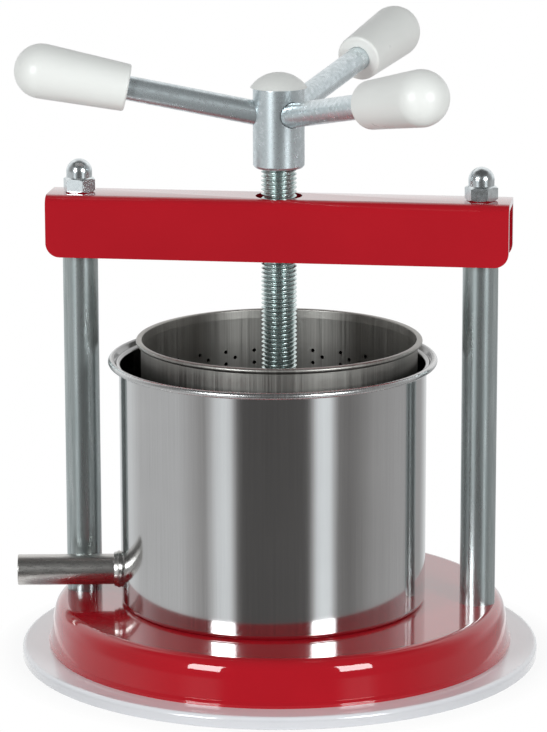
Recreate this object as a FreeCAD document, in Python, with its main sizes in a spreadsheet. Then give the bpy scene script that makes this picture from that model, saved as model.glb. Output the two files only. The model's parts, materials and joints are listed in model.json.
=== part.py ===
import FreeCAD, Part
import math
import os
import re
import Sketcher

# Manual food press: a hand-turned screw drives a plate down into a perforated
# basket that stands in a pot with a spout. Millimetres, Z up, the origin at the
# middle of the foot's underside, on the axis of the screw.

# Driving sizes: alias, number, what it measures

DRIVING = [
    ("basket_radius", 62.7, "basket, outside"),
    ("basket_sheet", 0.8, "basket, wall"),
    ("basket_floor", 1.0, "basket, floor"),
    ("basket_round", 5.0, "basket, lower edge"),
    ("basket_rim_width", 2.2, "basket, rolled rim past the wall"),
    ("basket_bead_height", 2.2, "basket, rolled rim"),
    ("basket_lip_height", 4.0, "basket, flare inside the rim"),
    ("basket_lip_round", 3.0, "basket, where the flare starts"),
    ("basket_stands_proud", 7.9, "basket's rim above the pot's rim"),
    ("basket_turned", 5.8, "basket, as it stands in the pot, degrees"),
    ("hole_radius", 1.1, "basket holes"),
    ("hole_columns", 28, "basket holes, round the wall"),
    ("hole_rows", 6, "basket holes, one above the other"),
    ("hole_first_drop", 19.6, "basket holes, first row below the rim"),
    ("hole_last_rise", 13.5, "basket holes, last row above the underside"),
    ("floor_hole_count", 12, "floor holes, round a ring"),
    ("floor_ring_margin", 18.7, "outer ring of floor holes, inside the wall"),
    ("floor_ring_step", 20.0, "between the rings of floor holes"),
    ("juice_gap", 6.1, "between basket and pot, both centred"),
    ("bucket_sheet", 0.8, "pot, wall"),
    ("bucket_floor", 1.0, "pot, floor"),
    ("bucket_round", 7.0, "pot, lower edge"),
    ("bucket_height", 113.2, "pot, to the top of its rim"),
    ("bucket_rim_width", 4.9, "pot, rim past the wall"),
    ("bucket_bead_height", 2.8, "pot, curled rim"),
    ("bucket_bead_width", 2.0, "pot, curled rim"),
    ("bucket_bead_under", 0.5, "pot, curled rim, lower edge"),
    ("bucket_bead_over", 1.2, "pot, curled rim, upper edge"),
    ("bucket_lip_height", 5.6, "pot, flared lip"),
    ("bucket_lip_round", 2.0, "pot, where the lip starts"),
    ("bucket_to_left", 2.5, "pot stands off the screw's axis, towards -X"),
    ("bucket_to_front", 3.5, "pot stands off the screw's axis, towards -Y"),
    ("spout_diameter", 14.0, "spout, outside"),
    ("spout_wall", 1.0, "spout, wall"),
    ("spout_length", 47.2, "spout, out of the pot's wall"),
    ("spout_level", 13.7, "spout's axis above the pot's underside"),
    ("spout_post_gap", 2.3, "between the spout and the left post"),
    ("collar_wall", 1.6, "spout's collar, past the spout"),
    ("collar_width", 3.2, "spout's collar, from the wall out"),
    ("collar_step_wall", 0.8, "collar's outer step, past the spout"),
    ("collar_step_width", 1.5, "collar's outer step, along the spout"),
    ("collar_seat", 0.3, "spout thinner inside its collar, radial"),
    ("plate_side_gap", 1.9, "between the pressing plate and the basket"),
    ("plate_sheet", 2.0, "pressing plate"),
    ("plate_flange", 8.0, "pressing plate, turned-up edge"),
    ("plate_round", 3.0, "pressing plate, edge bend"),
    ("plate_lift", 13.5, "plate above the basket's floor as drawn"),
    ("boss_radius", 15.0, "boss welded to the plate"),
    ("boss_edge", 1.0, "boss, edge chamfer"),
    ("boss_play", 0.05, "neck of the screw in the boss, radial"),
    ("grub_diameter", 5.0, "grub screw in the boss"),
    ("grub_sink", 0.5, "grub screw, below the boss's side"),
    ("grub_tip_gap", 0.3, "grub screw's tip above the groove's floor"),
    ("grub_side_gap", 0.3, "grub screw to each side of the groove"),
    ("screw_diameter", 16.0, "pressing screw"),
    ("screw_play", 0.04, "screw in its threaded block, radial"),
    ("screw_room", 2.5, "screw in the crossbeam's web, radial"),
    ("neck_step", 2.0, "shoulder at the screw's lower end, radial"),
    ("neck_length", 16.0, "screw's neck below the shoulder"),
    ("neck_floor_gap", 1.0, "screw's end above the plate"),
    ("groove_depth", 1.5, "groove for the grub screws, radial"),
    ("hub_lift", 13.0, "hub above the crossbeam as drawn"),
    ("hub_wall", 3.6, "hub, wall round the screw"),
    ("hub_above_rods", 13.6, "hub, above the level of the rods"),
    ("hub_edge", 0.8, "hub, edge chamfer"),
    ("cap_overhang", 1.2, "domed cap past the hub, radial"),
    ("cap_dome_height", 6.7, "domed cap above the hub"),
    ("cap_stem_length", 5.0, "domed cap's stem in the hub"),
    ("rod_diameter", 11.0, "handle rod"),
    ("rod_reach", 110.0, "from the axis to a rod's end, along it"),
    ("rod_root_gap", 1.0, "rods' ends clear of each other in the hub"),
    ("rod_screw_gap", 1.4, "rods above the screw's end in the hub"),
    ("rod_rise", 11.6, "rods rise outwards, degrees"),
    ("rod_level", 22.5, "where the rods cross, above the hub's underside"),
    ("rod_past_left", 10.0, "left rod, degrees past the crossbeam's line"),
    ("grip_length", 51.2, "plastic grip"),
    ("grip_end_wall", 7.2, "grip, past its bore"),
    ("grip_inner_radius", 10.6, "grip, end towards the hub"),
    ("grip_outer_radius", 12.3, "grip, radius of the round end"),
    ("grip_edge_round", 1.2, "grip, edge towards the hub"),
    ("left_grip_gap", 2.7, "bore left empty past the left rod"),
    ("front_grip_gap", 9.3, "bore left empty past the front rod"),
    ("rear_grip_gap", 15.0, "bore left empty past the rear rod"),
    ("push_play", 0.02, "pieces pushed, screwed or welded together, radial"),
    ("post_room", 8.5, "between the pot's rim and a post, both centred"),
    ("post_diameter", 16.0, "round post"),
    ("post_chamfer", 0.6, "edge of a post"),
    ("loading_gap", 37.1, "between the basket's rim and the crossbeam"),
    ("stud_diameter", 8.0, "threaded end of a post"),
    ("stud_play", 0.25, "hole round a stud, radial"),
    ("stud_tip", 1.8, "stud past its lower nut"),
    ("stud_in_cap", 11.0, "stud inside its cap nut"),
    ("washer_diameter", 16.0, "washer under a post"),
    ("washer_thickness", 1.6, "washer under a post"),
    ("nut_wall", 2.5, "nuts, from the stud to a flat"),
    ("nut_height", 6.5, "hexagon of the nuts"),
    ("nut_corner_cut", 0.8, "chamfer of the hexagon's corners"),
    ("cap_nut_hole_gap", 0.5, "cap nut, past the stud's end"),
    ("cap_nut_top_wall", 3.5, "cap nut, top of its dome"),
    ("cap_nut_side_wall", 1.8, "cap nut, side of its dome"),
    ("cap_nut_dome_rise", 6.4, "cap nut, round part of its dome"),
    ("left_nut_turn", 12.0, "cap nut over the left post, as tightened"),
    ("right_nut_turn", 37.0, "cap nut over the right post, as tightened"),
    ("beam_sheet", 3.0, "crossbeam, sheet"),
    ("beam_depth", 28.1, "crossbeam, outside"),
    ("beam_overhang", 13.4, "crossbeam, past the axis of a post"),
    ("beam_side_gap", 2.55, "between a post and a flange of the crossbeam"),
    ("beam_bend", 4.5, "crossbeam, outside of the bends"),
    ("beam_corner", 6.4, "crossbeam, lower corners of the flanges"),
    ("nut_block_length", 30.0, "threaded block under the web"),
    ("nut_block_height", 18.0, "threaded block under the web"),
    ("nut_block_corner", 1.5, "threaded block, lower edges"),
    ("weld_gap", 0.05, "between the block and a flange"),
    ("tie_bar_width", 30.0, "flat bar under the base"),
    ("tie_bar_thickness", 6.0, "flat bar under the base"),
    ("tie_bar_end_gap", 0.6, "flat bar's ends, inside the base's flat top"),
    ("pan_sheet", 1.5, "pressed base, sheet"),
    ("pan_ledge", 0.2, "pressed base, flat outside a post"),
    ("pan_edge_width", 1.5, "pressed base, rounded top edge"),
    ("pan_edge_round", 2.5, "pressed base, top edge"),
    ("pan_crown_width", 2.5, "pressed base, steep band below the top edge"),
    ("pan_crown_height", 4.8, "pressed base, the same band"),
    ("pan_crown_round", 20.0, "pressed base, between this band and the wall"),
    ("pan_crown_inner_round", 12.0, "pressed base, the same place, inside"),
    ("pan_draft", 1.6, "pressed base, wall slopes out by"),
    ("pan_flare", 1.45, "pressed base, flare past the wall"),
    ("pan_flare_height", 2.3, "pressed base, flare"),
    ("pan_flare_round", 2.5, "pressed base, between the wall and the flare"),
    ("pan_hem_height", 1.4, "pressed base, upright hem on the foot"),
    ("pan_hem_round", 0.8, "pressed base, between the flare and the hem"),
    ("pan_stud_gap", 2.9, "studs' lower ends above the foot"),
    ("foot_ledge", 12.15, "plastic foot, past the base"),
    ("foot_height", 5.5, "plastic foot, top above the table"),
    ("foot_skin", 2.5, "plastic foot, top wall"),
    ("foot_rim", 3.0, "plastic foot, outer wall"),
    ("foot_edge_round", 2.0, "plastic foot, top edge"),
    ("foot_rib_width", 2.0, "plastic foot, ribs"),
    ("foot_rib_count", 8, "plastic foot, ribs"),
    ("foot_ring_radius", 62.0, "plastic foot, ring where the ribs start"),
    ("foot_pad_radius", 10.0, "plastic foot, pad in the middle"),
    ("pillar_spacing", 90.0, "between the foot's two pillars"),
    ("pillar_wall", 2.6, "pillar, round the sunk screw head"),
    ("foot_screw_diameter", 5.0, "screw up through a pillar"),
    ("foot_screw_play", 0.2, "screw in its pillar, radial"),
    ("foot_screw_head", 9.0, "its head, across"),
    ("foot_screw_head_height", 2.6, "its head, thickness"),
    ("foot_screw_head_play", 0.4, "its head in the pillar, radial"),
    ("foot_screw_sink", 3.4, "its head above the table"),
    ("foot_screw_tip_gap", 0.5, "its tip below the pressed base"),
]

HANDLES = ("left", "front", "rear")
SHEET = "Sizes"

doc = FreeCAD.newDocument("FoodPress")
sizes = doc.addObject("Spreadsheet::Sheet", SHEET)
nodes = []


def fill_sheet():
    for row, (alias, number, meaning) in enumerate(DRIVING, start=1):
        sizes.set(f"A{row}", alias)
        sizes.set(f"B{row}", str(number))
        sizes.set(f"C{row}", meaning)
        sizes.setAlias(f"B{row}", alias)
    doc.recompute()


def formula(words):
    """The words of the sheet as an expression: each alias gets the sheet's name."""
    return re.sub(r"[a-z]+(?:_[a-z]+)+", lambda found: f"{SHEET}.{found.group(0)}", words)


def number(words):
    return float(sizes.evalExpression(formula(words)))


def bind(thing, prop, words):
    thing.setExpression(prop, formula(words))


# Sizes, levels and places that several pieces share, in the words of the sheet

SPREAD = f"(360 / {len(HANDLES)})"
BASKET_HEIGHT = "(bucket_height - bucket_floor + basket_stands_proud)"
BASKET_INNER = "(basket_radius - basket_sheet)"
HOLE_PITCH = f"(({BASKET_HEIGHT} - hole_first_drop - hole_last_rise) / (hole_rows - 1))"
HOLE_SHIFT = "(basket_radius * sin(360deg / hole_columns / 3))"
FLOOR_RING = "(basket_radius - floor_ring_margin)"
BUCKET_INNER = "(basket_radius + juice_gap)"
BUCKET_RADIUS = f"({BUCKET_INNER} + bucket_sheet)"
BUCKET_RIM = f"({BUCKET_RADIUS} + bucket_rim_width)"
SPOUT_BORE = "(spout_diameter / 2 - spout_wall)"
PLATE_RADIUS = f"({BASKET_INNER} - plate_side_gap)"

POST_X = f"({BUCKET_RIM} + post_room + post_diameter / 2)"
NUT_FLATS = "(stud_diameter + 2 * nut_wall)"
STUD_HOLE = "(stud_diameter / 2 + stud_play)"
STUD_THREAD = "(stud_diameter / 2 + push_play)"
STUD_BELOW = "(pan_sheet + tie_bar_thickness + washer_thickness + nut_height + stud_tip)"
BEAM_WIDTH = "(post_diameter + 2 * beam_side_gap + 2 * beam_sheet)"
BEAM_REACH = f"({POST_X} + beam_overhang)"

PAN_FLAT = f"({POST_X} + post_diameter / 2 + pan_ledge)"
PAN_EDGE = f"({PAN_FLAT} + pan_edge_width)"
PAN_CROWN = f"({PAN_EDGE} + pan_crown_width)"
PAN_WAIST = f"({PAN_CROWN} + pan_draft)"
PAN_FOOT = f"({PAN_WAIST} + pan_flare)"
FOOT_RADIUS = f"({PAN_FOOT} + foot_ledge)"

PAN_TOP = f"(foot_height + pan_stud_gap + {STUD_BELOW})"
BAR_TOP = f"({PAN_TOP} - pan_sheet)"
BAR_BOTTOM = f"({BAR_TOP} - tie_bar_thickness)"
BASKET_BOTTOM = f"({PAN_TOP} + bucket_floor)"
BEAM_BOTTOM = f"({BASKET_BOTTOM} + {BASKET_HEIGHT} + loading_gap)"
BEAM_TOP = f"({BEAM_BOTTOM} + beam_depth)"
WEB_BOTTOM = f"({BEAM_TOP} - beam_sheet)"
POST_HEIGHT = f"({WEB_BOTTOM} - {PAN_TOP})"

PLATE_BOTTOM = f"({BASKET_BOTTOM} + basket_floor + plate_lift)"
BOSS_BOTTOM = f"({PLATE_BOTTOM} + plate_sheet)"
NECK_RADIUS = "(screw_diameter / 2 - neck_step)"
NECK_BOTTOM = f"({BOSS_BOTTOM} + neck_floor_gap)"
NECK_TOP = f"({NECK_BOTTOM} + neck_length)"
GROOVE_LEVEL = f"({NECK_BOTTOM} + neck_length / 2)"
GROOVE_RADIUS = f"({NECK_RADIUS} - groove_depth)"
HUB_RADIUS = "(screw_diameter / 2 + hub_wall)"
HUB_BOTTOM = f"({BEAM_TOP} + hub_lift)"
HUB_HEIGHT = "(rod_level + hub_above_rods)"
ROD_CROSSING = f"({HUB_BOTTOM} + rod_level)"
SCREW_TOP = f"({ROD_CROSSING} - rod_diameter / 2 / cos(rod_rise * 1deg) - rod_screw_gap)"
ROD_ROOT = f"(rod_diameter / 2 / tan({SPREAD} / 2 * 1deg) + rod_root_gap)"
ROD_SOCKET = "(rod_diameter / 2 + push_play)"
GRIP_BORE = "(grip_length - grip_end_wall)"

# The spout passes the left post by a set gap, seen from the pot's own axis

POT_TO_POST = f"({POST_X} - bucket_to_left)"
SPOUT_MISS = "(post_diameter / 2 + spout_diameter / 2 + spout_post_gap)"
POST_DISTANCE = f"sqrt({POT_TO_POST} ^ 2 + bucket_to_front ^ 2)"
SPOUT_TURN = (f"(180 + asin({SPOUT_MISS} / {POST_DISTANCE}) / 1deg"
              f" - atan(bucket_to_front / {POT_TO_POST}) / 1deg)")


# Sketch helpers

def pin_point(sketch, geo, end, x, y):
    """Holds a point of the sketch at x, y, each bound to its formula."""
    for kind, words in (("DistanceX", x), ("DistanceY", y)):
        index = sketch.addConstraint(Sketcher.Constraint(kind, -1, 1, geo, end, number(words)))
        sketch.setExpression(f"Constraints[{index}]", formula(words))


def hold_radius(sketch, geo, words):
    index = sketch.addConstraint(Sketcher.Constraint("Radius", geo, number(words)))
    sketch.setExpression(f"Constraints[{index}]", formula(words))


def rounding(before, corner, after, radius):
    """Where a rounding leaves the side before and meets the side after, and its arc."""
    back = (before - corner).normalize()
    onward = (after - corner).normalize()
    half = math.acos(max(-1.0, min(1.0, back.dot(onward)))) / 2
    reach = radius / math.tan(half)
    middle = corner + (back + onward).normalize() * (radius / math.sin(half))
    leave = corner + back * reach
    meet = corner + onward * reach
    bulge = middle + (corner - middle).normalize() * radius
    return leave, meet, Part.Arc(leave, bulge, meet)


def turn_arc(start, end, radius, anticlockwise):
    """The arc of less than half a turn from start to end."""
    chord = end - start
    sag = math.sqrt(max(radius ** 2 - (chord.Length / 2) ** 2, 0.0))
    side = FreeCAD.Vector(-chord.y, chord.x, 0).normalize()
    if not anticlockwise:
        side = side * -1
    middle = (start + end) * 0.5 + side * sag
    bulge = middle + ((start + end) * 0.5 - middle + side * -0.001).normalize() * radius
    return Part.Arc(start, bulge, end)


def outline(sketch, corners):
    """A closed outline of straight sides and arcs.

    A corner is (x, y), (x, y, rounding radius) or (x, y, "arc", radius, anticlockwise),
    where the side that arrives at it is an arc.
    """
    spots = [FreeCAD.Vector(number(c[0]), number(c[1]), 0) for c in corners]
    count = len(corners)
    arrive = list(spots)
    depart = list(spots)
    round_geo = {}
    for i, corner in enumerate(corners):
        if len(corner) != 3:
            continue
        leave, meet, arc = rounding(
            spots[i - 1], spots[i], spots[(i + 1) % count], number(corner[2]))
        arrive[i] = leave
        depart[i] = meet
        round_geo[i] = sketch.addGeometry(arc)
    sides = []
    for i in range(count):
        j = (i + 1) % count
        if len(corners[j]) == 5:
            arc = turn_arc(depart[i], arrive[j], number(corners[j][3]), corners[j][4])
            sides.append(sketch.addGeometry(arc))
        else:
            sides.append(sketch.addGeometry(Part.LineSegment(depart[i], arrive[j])))

    def end_at(geo, spot):
        ends = (sketch.getPoint(geo, 1), sketch.getPoint(geo, 2))
        return 1 if (ends[0] - spot).Length < (ends[1] - spot).Length else 2

    for i, corner in enumerate(corners):
        before = sides[i - 1]
        after = sides[i]
        before_end = end_at(before, arrive[i])
        after_end = end_at(after, depart[i])
        if i in round_geo:
            arc = round_geo[i]
            sketch.addConstraint(Sketcher.Constraint(
                "Tangent", before, before_end, arc, end_at(arc, arrive[i])))
            sketch.addConstraint(Sketcher.Constraint(
                "Tangent", after, after_end, arc, end_at(arc, depart[i])))
            hold_radius(sketch, arc, corner[2])
            mark = sketch.addGeometry(Part.Point(spots[i]), True)
            sketch.addConstraint(Sketcher.Constraint("PointOnObject", mark, 1, before))
            sketch.addConstraint(Sketcher.Constraint("PointOnObject", mark, 1, after))
            pin_point(sketch, mark, 1, corner[0], corner[1])
        else:
            sketch.addConstraint(Sketcher.Constraint(
                "Coincident", before, before_end, after, after_end))
            pin_point(sketch, after, after_end, corner[0], corner[1])
        if len(corner) == 5:
            hold_radius(sketch, before, corner[3])


def circle(sketch, x, y, radius):
    spot = FreeCAD.Vector(number(x), number(y), 0)
    geo = sketch.addGeometry(Part.Circle(spot, FreeCAD.Vector(0, 0, 1), number(radius)))
    pin_point(sketch, geo, 3, x, y)
    hold_radius(sketch, geo, radius)


def box_corners(x0, y0, x1, y1):
    return [(x0, y0), (x1, y0), (x1, y1), (x0, y1)]


def hexagon(across_flats):
    """Corners of a hexagon about the sketch's origin, first corner on its X axis."""
    far = f"{across_flats} / sqrt(3)"
    half_far = f"{across_flats} / sqrt(3) / 2"
    flat = f"{across_flats} / 2"
    return [(far, "0"), (half_far, flat), (f"-{half_far}", flat),
            (f"-{far}", "0"), (f"-{half_far}", f"-{flat}"), (half_far, f"-{flat}")]


def small_hole(x, y):
    """A small hole about x, y, drawn with six sides."""
    corners = []
    for step in range(6):
        angle = f"{60 * step} * 1deg"
        corners.append((f"{x} + hole_radius * cos({angle})",
                        f"{y} + hole_radius * sin({angle})"))
    return corners


# Body helpers

def new_body(label):
    body = doc.addObject("PartDesign::Body", label)
    body.Label = label
    nodes.append(body)
    return body


def origin_part(body, role):
    return next(part for part in body.Origin.OriginFeatures if part.Role == role)


def new_sketch(body, name, plane, level="0"):
    sketch = body.newObject("Sketcher::SketchObject", name)
    sketch.AttachmentSupport = [(origin_part(body, plane), "")]
    sketch.MapMode = "FlatFace"
    bind(sketch, "AttachmentOffset.Base.z", level)
    return sketch


def draw(sketch, shapes):
    for shape in shapes:
        if shape[0] == "circle":
            circle(sketch, *shape[1:])
        else:
            outline(sketch, shape)
    doc.recompute()


def volume_of(body):
    return body.Shape.Volume if body.Tip else 0.0


def turned(body, name, corners, kind="Revolution"):
    """A revolved feature about the body's Z axis. A groove has to take material away."""
    before = volume_of(body)
    sketch = new_sketch(body, f"{name}Profile", "XZ_Plane")
    draw(sketch, [corners])
    feature = body.newObject(f"PartDesign::{kind}", name)
    feature.Profile = sketch
    feature.ReferenceAxis = (sketch, ["V_Axis"])
    feature.Angle = 360
    doc.recompute()
    if kind == "Groove" and volume_of(body) >= before:
        raise ValueError(f"{name} takes nothing away")
    return feature


def extruded(body, name, shapes, length, kind="Pad", plane="XY_Plane", level="0",
             reverse=False, both=False):
    """A padded or pocketed sketch. Its volume tells that it points the right way."""
    before = volume_of(body)
    sketch = new_sketch(body, f"{name}Profile", plane, level)
    draw(sketch, shapes)
    feature = body.newObject(f"PartDesign::{kind}", name)
    feature.Profile = sketch
    bind(feature, "Length", length)
    feature.Reversed = reverse
    feature.Midplane = both
    doc.recompute()
    after = volume_of(body)
    if (kind == "Pad" and after <= before) or (kind == "Pocket" and after >= before):
        raise ValueError(f"{name} points away from {body.Label}")
    return feature


def round_about(body, name, feature, count):
    """Copies of a feature round the body's Z axis."""
    pattern = body.newObject("PartDesign::PolarPattern", name)
    pattern.Originals = [feature]
    pattern.Axis = (origin_part(body, "Z_Axis"), [""])
    pattern.Angle = 360
    bind(pattern, "Occurrences", count)
    body.Tip = pattern
    doc.recompute()
    return pattern


def place(thing, x="0", y="0", z="0", turn="0"):
    spot = f"vector({formula(x)}; {formula(y)}; {formula(z)})"
    spin = f"rotation(vector(0; 0; 1); {formula(turn)})"
    thing.setExpression("Placement", f"placement({spot}; {spin})")


def place_on_rod(thing, turn, along="0"):
    """Puts the thing's Z axis along a handle rod, starting at a distance from the axis."""
    crossing = f"placement(vector(0; 0; {formula(ROD_CROSSING)}); "
    crossing += f"rotation(vector(0; 0; 1); {formula(turn)}))"
    lean = f"placement(vector(0; 0; 0); rotation(vector(0; 1; 0); 90 - {formula('rod_rise')}))"
    slide = f"placement(vector(0; 0; {formula(along)}); rotation(vector(0; 0; 1); 0))"
    thing.setExpression("Placement", f"{crossing} * {lean} * {slide}")


def rod_turn(index):
    """Where a rod points, in degrees from +X."""
    return f"(180 + rod_past_left + {index} * {SPREAD})"


# Helpers for small groups of alike solids

def cylinder(name, radius, height, z, x="0"):
    solid = doc.addObject("Part::Cylinder", name)
    bind(solid, "Radius", radius)
    bind(solid, "Height", height)
    place(solid, x=x, z=z)
    return solid


def joined(kind, name, base, tool):
    solid = doc.addObject(f"Part::{kind}", name)
    solid.Base = base
    solid.Tool = tool
    return solid


def pair(label, solid):
    """The solid and its mirror image across the screw's axis, as one node."""
    twin = doc.addObject("Part::Mirroring", f"{label}_twin")
    twin.Source = solid
    twin.Normal = FreeCAD.Vector(1, 0, 0)
    group = doc.addObject("Part::Compound", label)
    group.Links = [solid, twin]
    group.Label = label
    nodes.append(group)


# Foot and base

def both_sides(x, radius):
    return [("circle", f"-{x}", "0", radius), ("circle", x, "0", radius)]


def make_foot_plate():
    body = new_body("foot_plate")
    underside = "(foot_height - foot_skin)"
    turned(body, "FootDisc", [
        ("0", underside),
        (f"{FOOT_RADIUS} - foot_rim", underside),
        (f"{FOOT_RADIUS} - foot_rim", "0"),
        (FOOT_RADIUS, "0"),
        (FOOT_RADIUS, "foot_height", "foot_edge_round"),
        ("0", "foot_height"),
    ])
    extruded(body, "FootRing", [
        ("circle", "0", "0", "foot_ring_radius + foot_rib_width / 2"),
        ("circle", "0", "0", "foot_ring_radius - foot_rib_width / 2"),
    ], underside)
    extruded(body, "FootPad", [("circle", "0", "0", "foot_pad_radius")], underside)
    rib = extruded(body, "FootRib", [box_corners(
        "foot_ring_radius", "-foot_rib_width / 2",
        f"{FOOT_RADIUS} - foot_rim / 2", "foot_rib_width / 2")], underside)
    round_about(body, "FootRibs", rib, "foot_rib_count")
    place_x = "pillar_spacing / 2"
    head_room = "foot_screw_head / 2 + foot_screw_head_play"
    extruded(body, "Pillars", both_sides(place_x, f"{head_room} + pillar_wall"), BAR_BOTTOM)
    extruded(body, "HeadSinks", both_sides(place_x, head_room),
             "foot_screw_sink + foot_screw_head_height", kind="Pocket", reverse=True)
    extruded(body, "ShankHoles",
             both_sides(place_x, "foot_screw_diameter / 2 + foot_screw_play"),
             BAR_BOTTOM, kind="Pocket", reverse=True)


def make_foot_screws():
    x = "pillar_spacing / 2"
    head = cylinder("screw_head", "foot_screw_head / 2", "foot_screw_head_height",
                    "foot_screw_sink", x)
    shank = cylinder("screw_shank", "foot_screw_diameter / 2",
                     f"{BAR_TOP} - foot_screw_tip_gap - foot_screw_sink",
                     "foot_screw_sink", x)
    pair("foot_screws", joined("Fuse", "foot_screw", head, shank))


def make_base_pan():
    """A pressed dish: rounded edge, steep band, drawn wall, flare and upright hem."""
    body = new_body("base_pan")
    crown_low = f"({PAN_TOP} - pan_crown_height)"
    hem_top = "(foot_height + pan_hem_height)"
    flare_top = f"({hem_top} + pan_flare_height)"
    turned(body, "PressedPan", [
        ("0", PAN_TOP),
        ("0", BAR_TOP),
        (f"{PAN_EDGE} - pan_sheet / 2", BAR_TOP, "pan_edge_round - pan_sheet"),
        (f"{PAN_CROWN} - pan_sheet", crown_low, "pan_crown_inner_round"),
        (f"{PAN_WAIST} - pan_sheet", flare_top, "pan_flare_round"),
        (f"{PAN_FOOT} - pan_sheet", hem_top, "pan_hem_round"),
        (f"{PAN_FOOT} - pan_sheet", "foot_height"),
        (PAN_FOOT, "foot_height"),
        (PAN_FOOT, hem_top, "pan_hem_round"),
        (PAN_WAIST, flare_top, "pan_flare_round"),
        (PAN_CROWN, crown_low, "pan_crown_round"),
        (PAN_EDGE, PAN_TOP, "pan_edge_round"),
    ])
    extruded(body, "StudHoles", both_sides(POST_X, STUD_HOLE), "4 * pan_sheet",
             kind="Pocket", level=PAN_TOP, both=True)


def make_tie_bar():
    """A flat bar whose ends follow the round edge of the base above it."""
    body = new_body("tie_bar")
    end = f"({PAN_FLAT} - tie_bar_end_gap)"
    half = "(tie_bar_width / 2)"
    corner_x = f"sqrt({end} ^ 2 - {half} ^ 2)"
    extruded(body, "FlatBar", [[
        (f"-{corner_x}", f"-{half}", "arc", end, True),
        (corner_x, f"-{half}"),
        (corner_x, half, "arc", end, True),
        (f"-{corner_x}", half),
    ]], "tie_bar_thickness", level=BAR_BOTTOM)
    holes = both_sides(POST_X, STUD_HOLE)
    holes += both_sides("pillar_spacing / 2", "foot_screw_diameter / 2 + push_play")
    extruded(body, "BarHoles", holes, "4 * tie_bar_thickness", kind="Pocket",
             level=BAR_TOP, both=True)


# Posts and their fasteners

def make_post(label, side):
    body = new_body(label)
    wide = "post_diameter / 2"
    stud = "stud_diameter / 2"
    top = f"({POST_HEIGHT} + beam_sheet + stud_in_cap)"
    turned(body, "PostTurned", [
        ("0", f"-{STUD_BELOW}"),
        (stud, f"-{STUD_BELOW}"),
        (stud, "0"),
        (f"{wide} - post_chamfer", "0"),
        (wide, "post_chamfer"),
        (wide, f"{POST_HEIGHT} - post_chamfer"),
        (f"{wide} - post_chamfer", POST_HEIGHT),
        (stud, POST_HEIGHT),
        (stud, top),
        ("0", top),
    ])
    place(body, x=f"{side}{POST_X}", z=PAN_TOP)


def make_post_washers():
    z = f"{BAR_BOTTOM} - washer_thickness"
    disc = cylinder("washer_disc", "washer_diameter / 2", "washer_thickness", z, POST_X)
    hole = cylinder("washer_hole", STUD_HOLE, "3 * washer_thickness",
                    f"{z} - washer_thickness", POST_X)
    pair("post_washers", joined("Cut", "post_washer", disc, hole))


def make_post_nuts():
    z = f"{BAR_BOTTOM} - washer_thickness - nut_height"
    prism = doc.addObject("Part::Prism", "nut_prism")
    prism.Polygon = 6
    bind(prism, "Circumradius", f"{NUT_FLATS} / sqrt(3)")
    bind(prism, "Height", "nut_height")
    place(prism, x=POST_X, z=z)
    hole = cylinder("nut_hole", STUD_THREAD, "3 * nut_height", f"{z} - nut_height", POST_X)
    pair("post_nuts", joined("Cut", "post_nut", prism, hole))


def make_cap_nut(label, side, turn):
    body = new_body(label)
    extruded(body, "Hexagon", [hexagon(NUT_FLATS)], "nut_height")
    corner = f"{NUT_FLATS} / sqrt(3)"
    past = f"2 * {corner}"
    for name, edge, inward in (("LowerCut", "0", "1"), ("UpperCut", "nut_height", "-1")):
        turned(body, name, [
            (f"{NUT_FLATS} / 2", edge),
            (past, edge),
            (past, f"{edge} + {inward} * nut_corner_cut"),
            (corner, f"{edge} + {inward} * nut_corner_cut"),
        ], kind="Groove")
    hole = "(stud_in_cap + cap_nut_hole_gap)"
    height = f"({hole} + cap_nut_top_wall)"
    dome = "(stud_diameter / 2 + cap_nut_side_wall)"
    rise = "cap_nut_dome_rise"
    turned(body, "Dome", [
        ("0", "nut_height / 2"),
        (dome, "nut_height / 2"),
        (dome, f"{height} - {rise}"),
        ("0", height, "arc", f"({rise} ^ 2 + {dome} ^ 2) / (2 * {rise})", True),
    ])
    extruded(body, "BlindHole", [("circle", "0", "0", STUD_THREAD)], hole,
             kind="Pocket", reverse=True)
    place(body, x=f"{side}{POST_X}", z=BEAM_TOP, turn=turn)


# Crossbeam and the threaded block under its web

def cut_flange_corners(body, name, side, anticlockwise):
    """Rounds the lower corner of both flanges at one end of the crossbeam."""
    start = f"{side}({BEAM_REACH} - beam_corner)"
    end = f"{side}{BEAM_REACH}"
    past = f"{side}({BEAM_REACH} + beam_corner)"
    below = f"{BEAM_BOTTOM} - beam_corner"
    above = f"{BEAM_BOTTOM} + beam_corner"
    extruded(body, name, [[
        (start, BEAM_BOTTOM, "arc", "beam_corner", anticlockwise),
        (start, below),
        (past, below),
        (past, above),
        (end, above),
    ]], f"2 * {BEAM_WIDTH}", kind="Pocket", plane="XZ_Plane", both=True)


def make_crossbeam():
    body = new_body("crossbeam")
    half = f"{BEAM_WIDTH} / 2"
    inner_bend = "beam_bend - beam_sheet"
    extruded(body, "Channel", [[
        (f"-{half}", BEAM_BOTTOM),
        (f"-{half} + beam_sheet", BEAM_BOTTOM),
        (f"-{half} + beam_sheet", WEB_BOTTOM, inner_bend),
        (f"{half} - beam_sheet", WEB_BOTTOM, inner_bend),
        (f"{half} - beam_sheet", BEAM_BOTTOM),
        (half, BEAM_BOTTOM),
        (half, BEAM_TOP, "beam_bend"),
        (f"-{half}", BEAM_TOP, "beam_bend"),
    ]], f"2 * {BEAM_REACH}", plane="YZ_Plane", both=True)
    cut_flange_corners(body, "LeftCorners", "-", True)
    cut_flange_corners(body, "RightCorners", "", False)
    holes = both_sides(POST_X, STUD_HOLE)
    holes.append(("circle", "0", "0", "screw_diameter / 2 + screw_room"))
    extruded(body, "WebHoles", holes, "4 * beam_sheet", kind="Pocket",
             level=BEAM_TOP, both=True)


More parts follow.
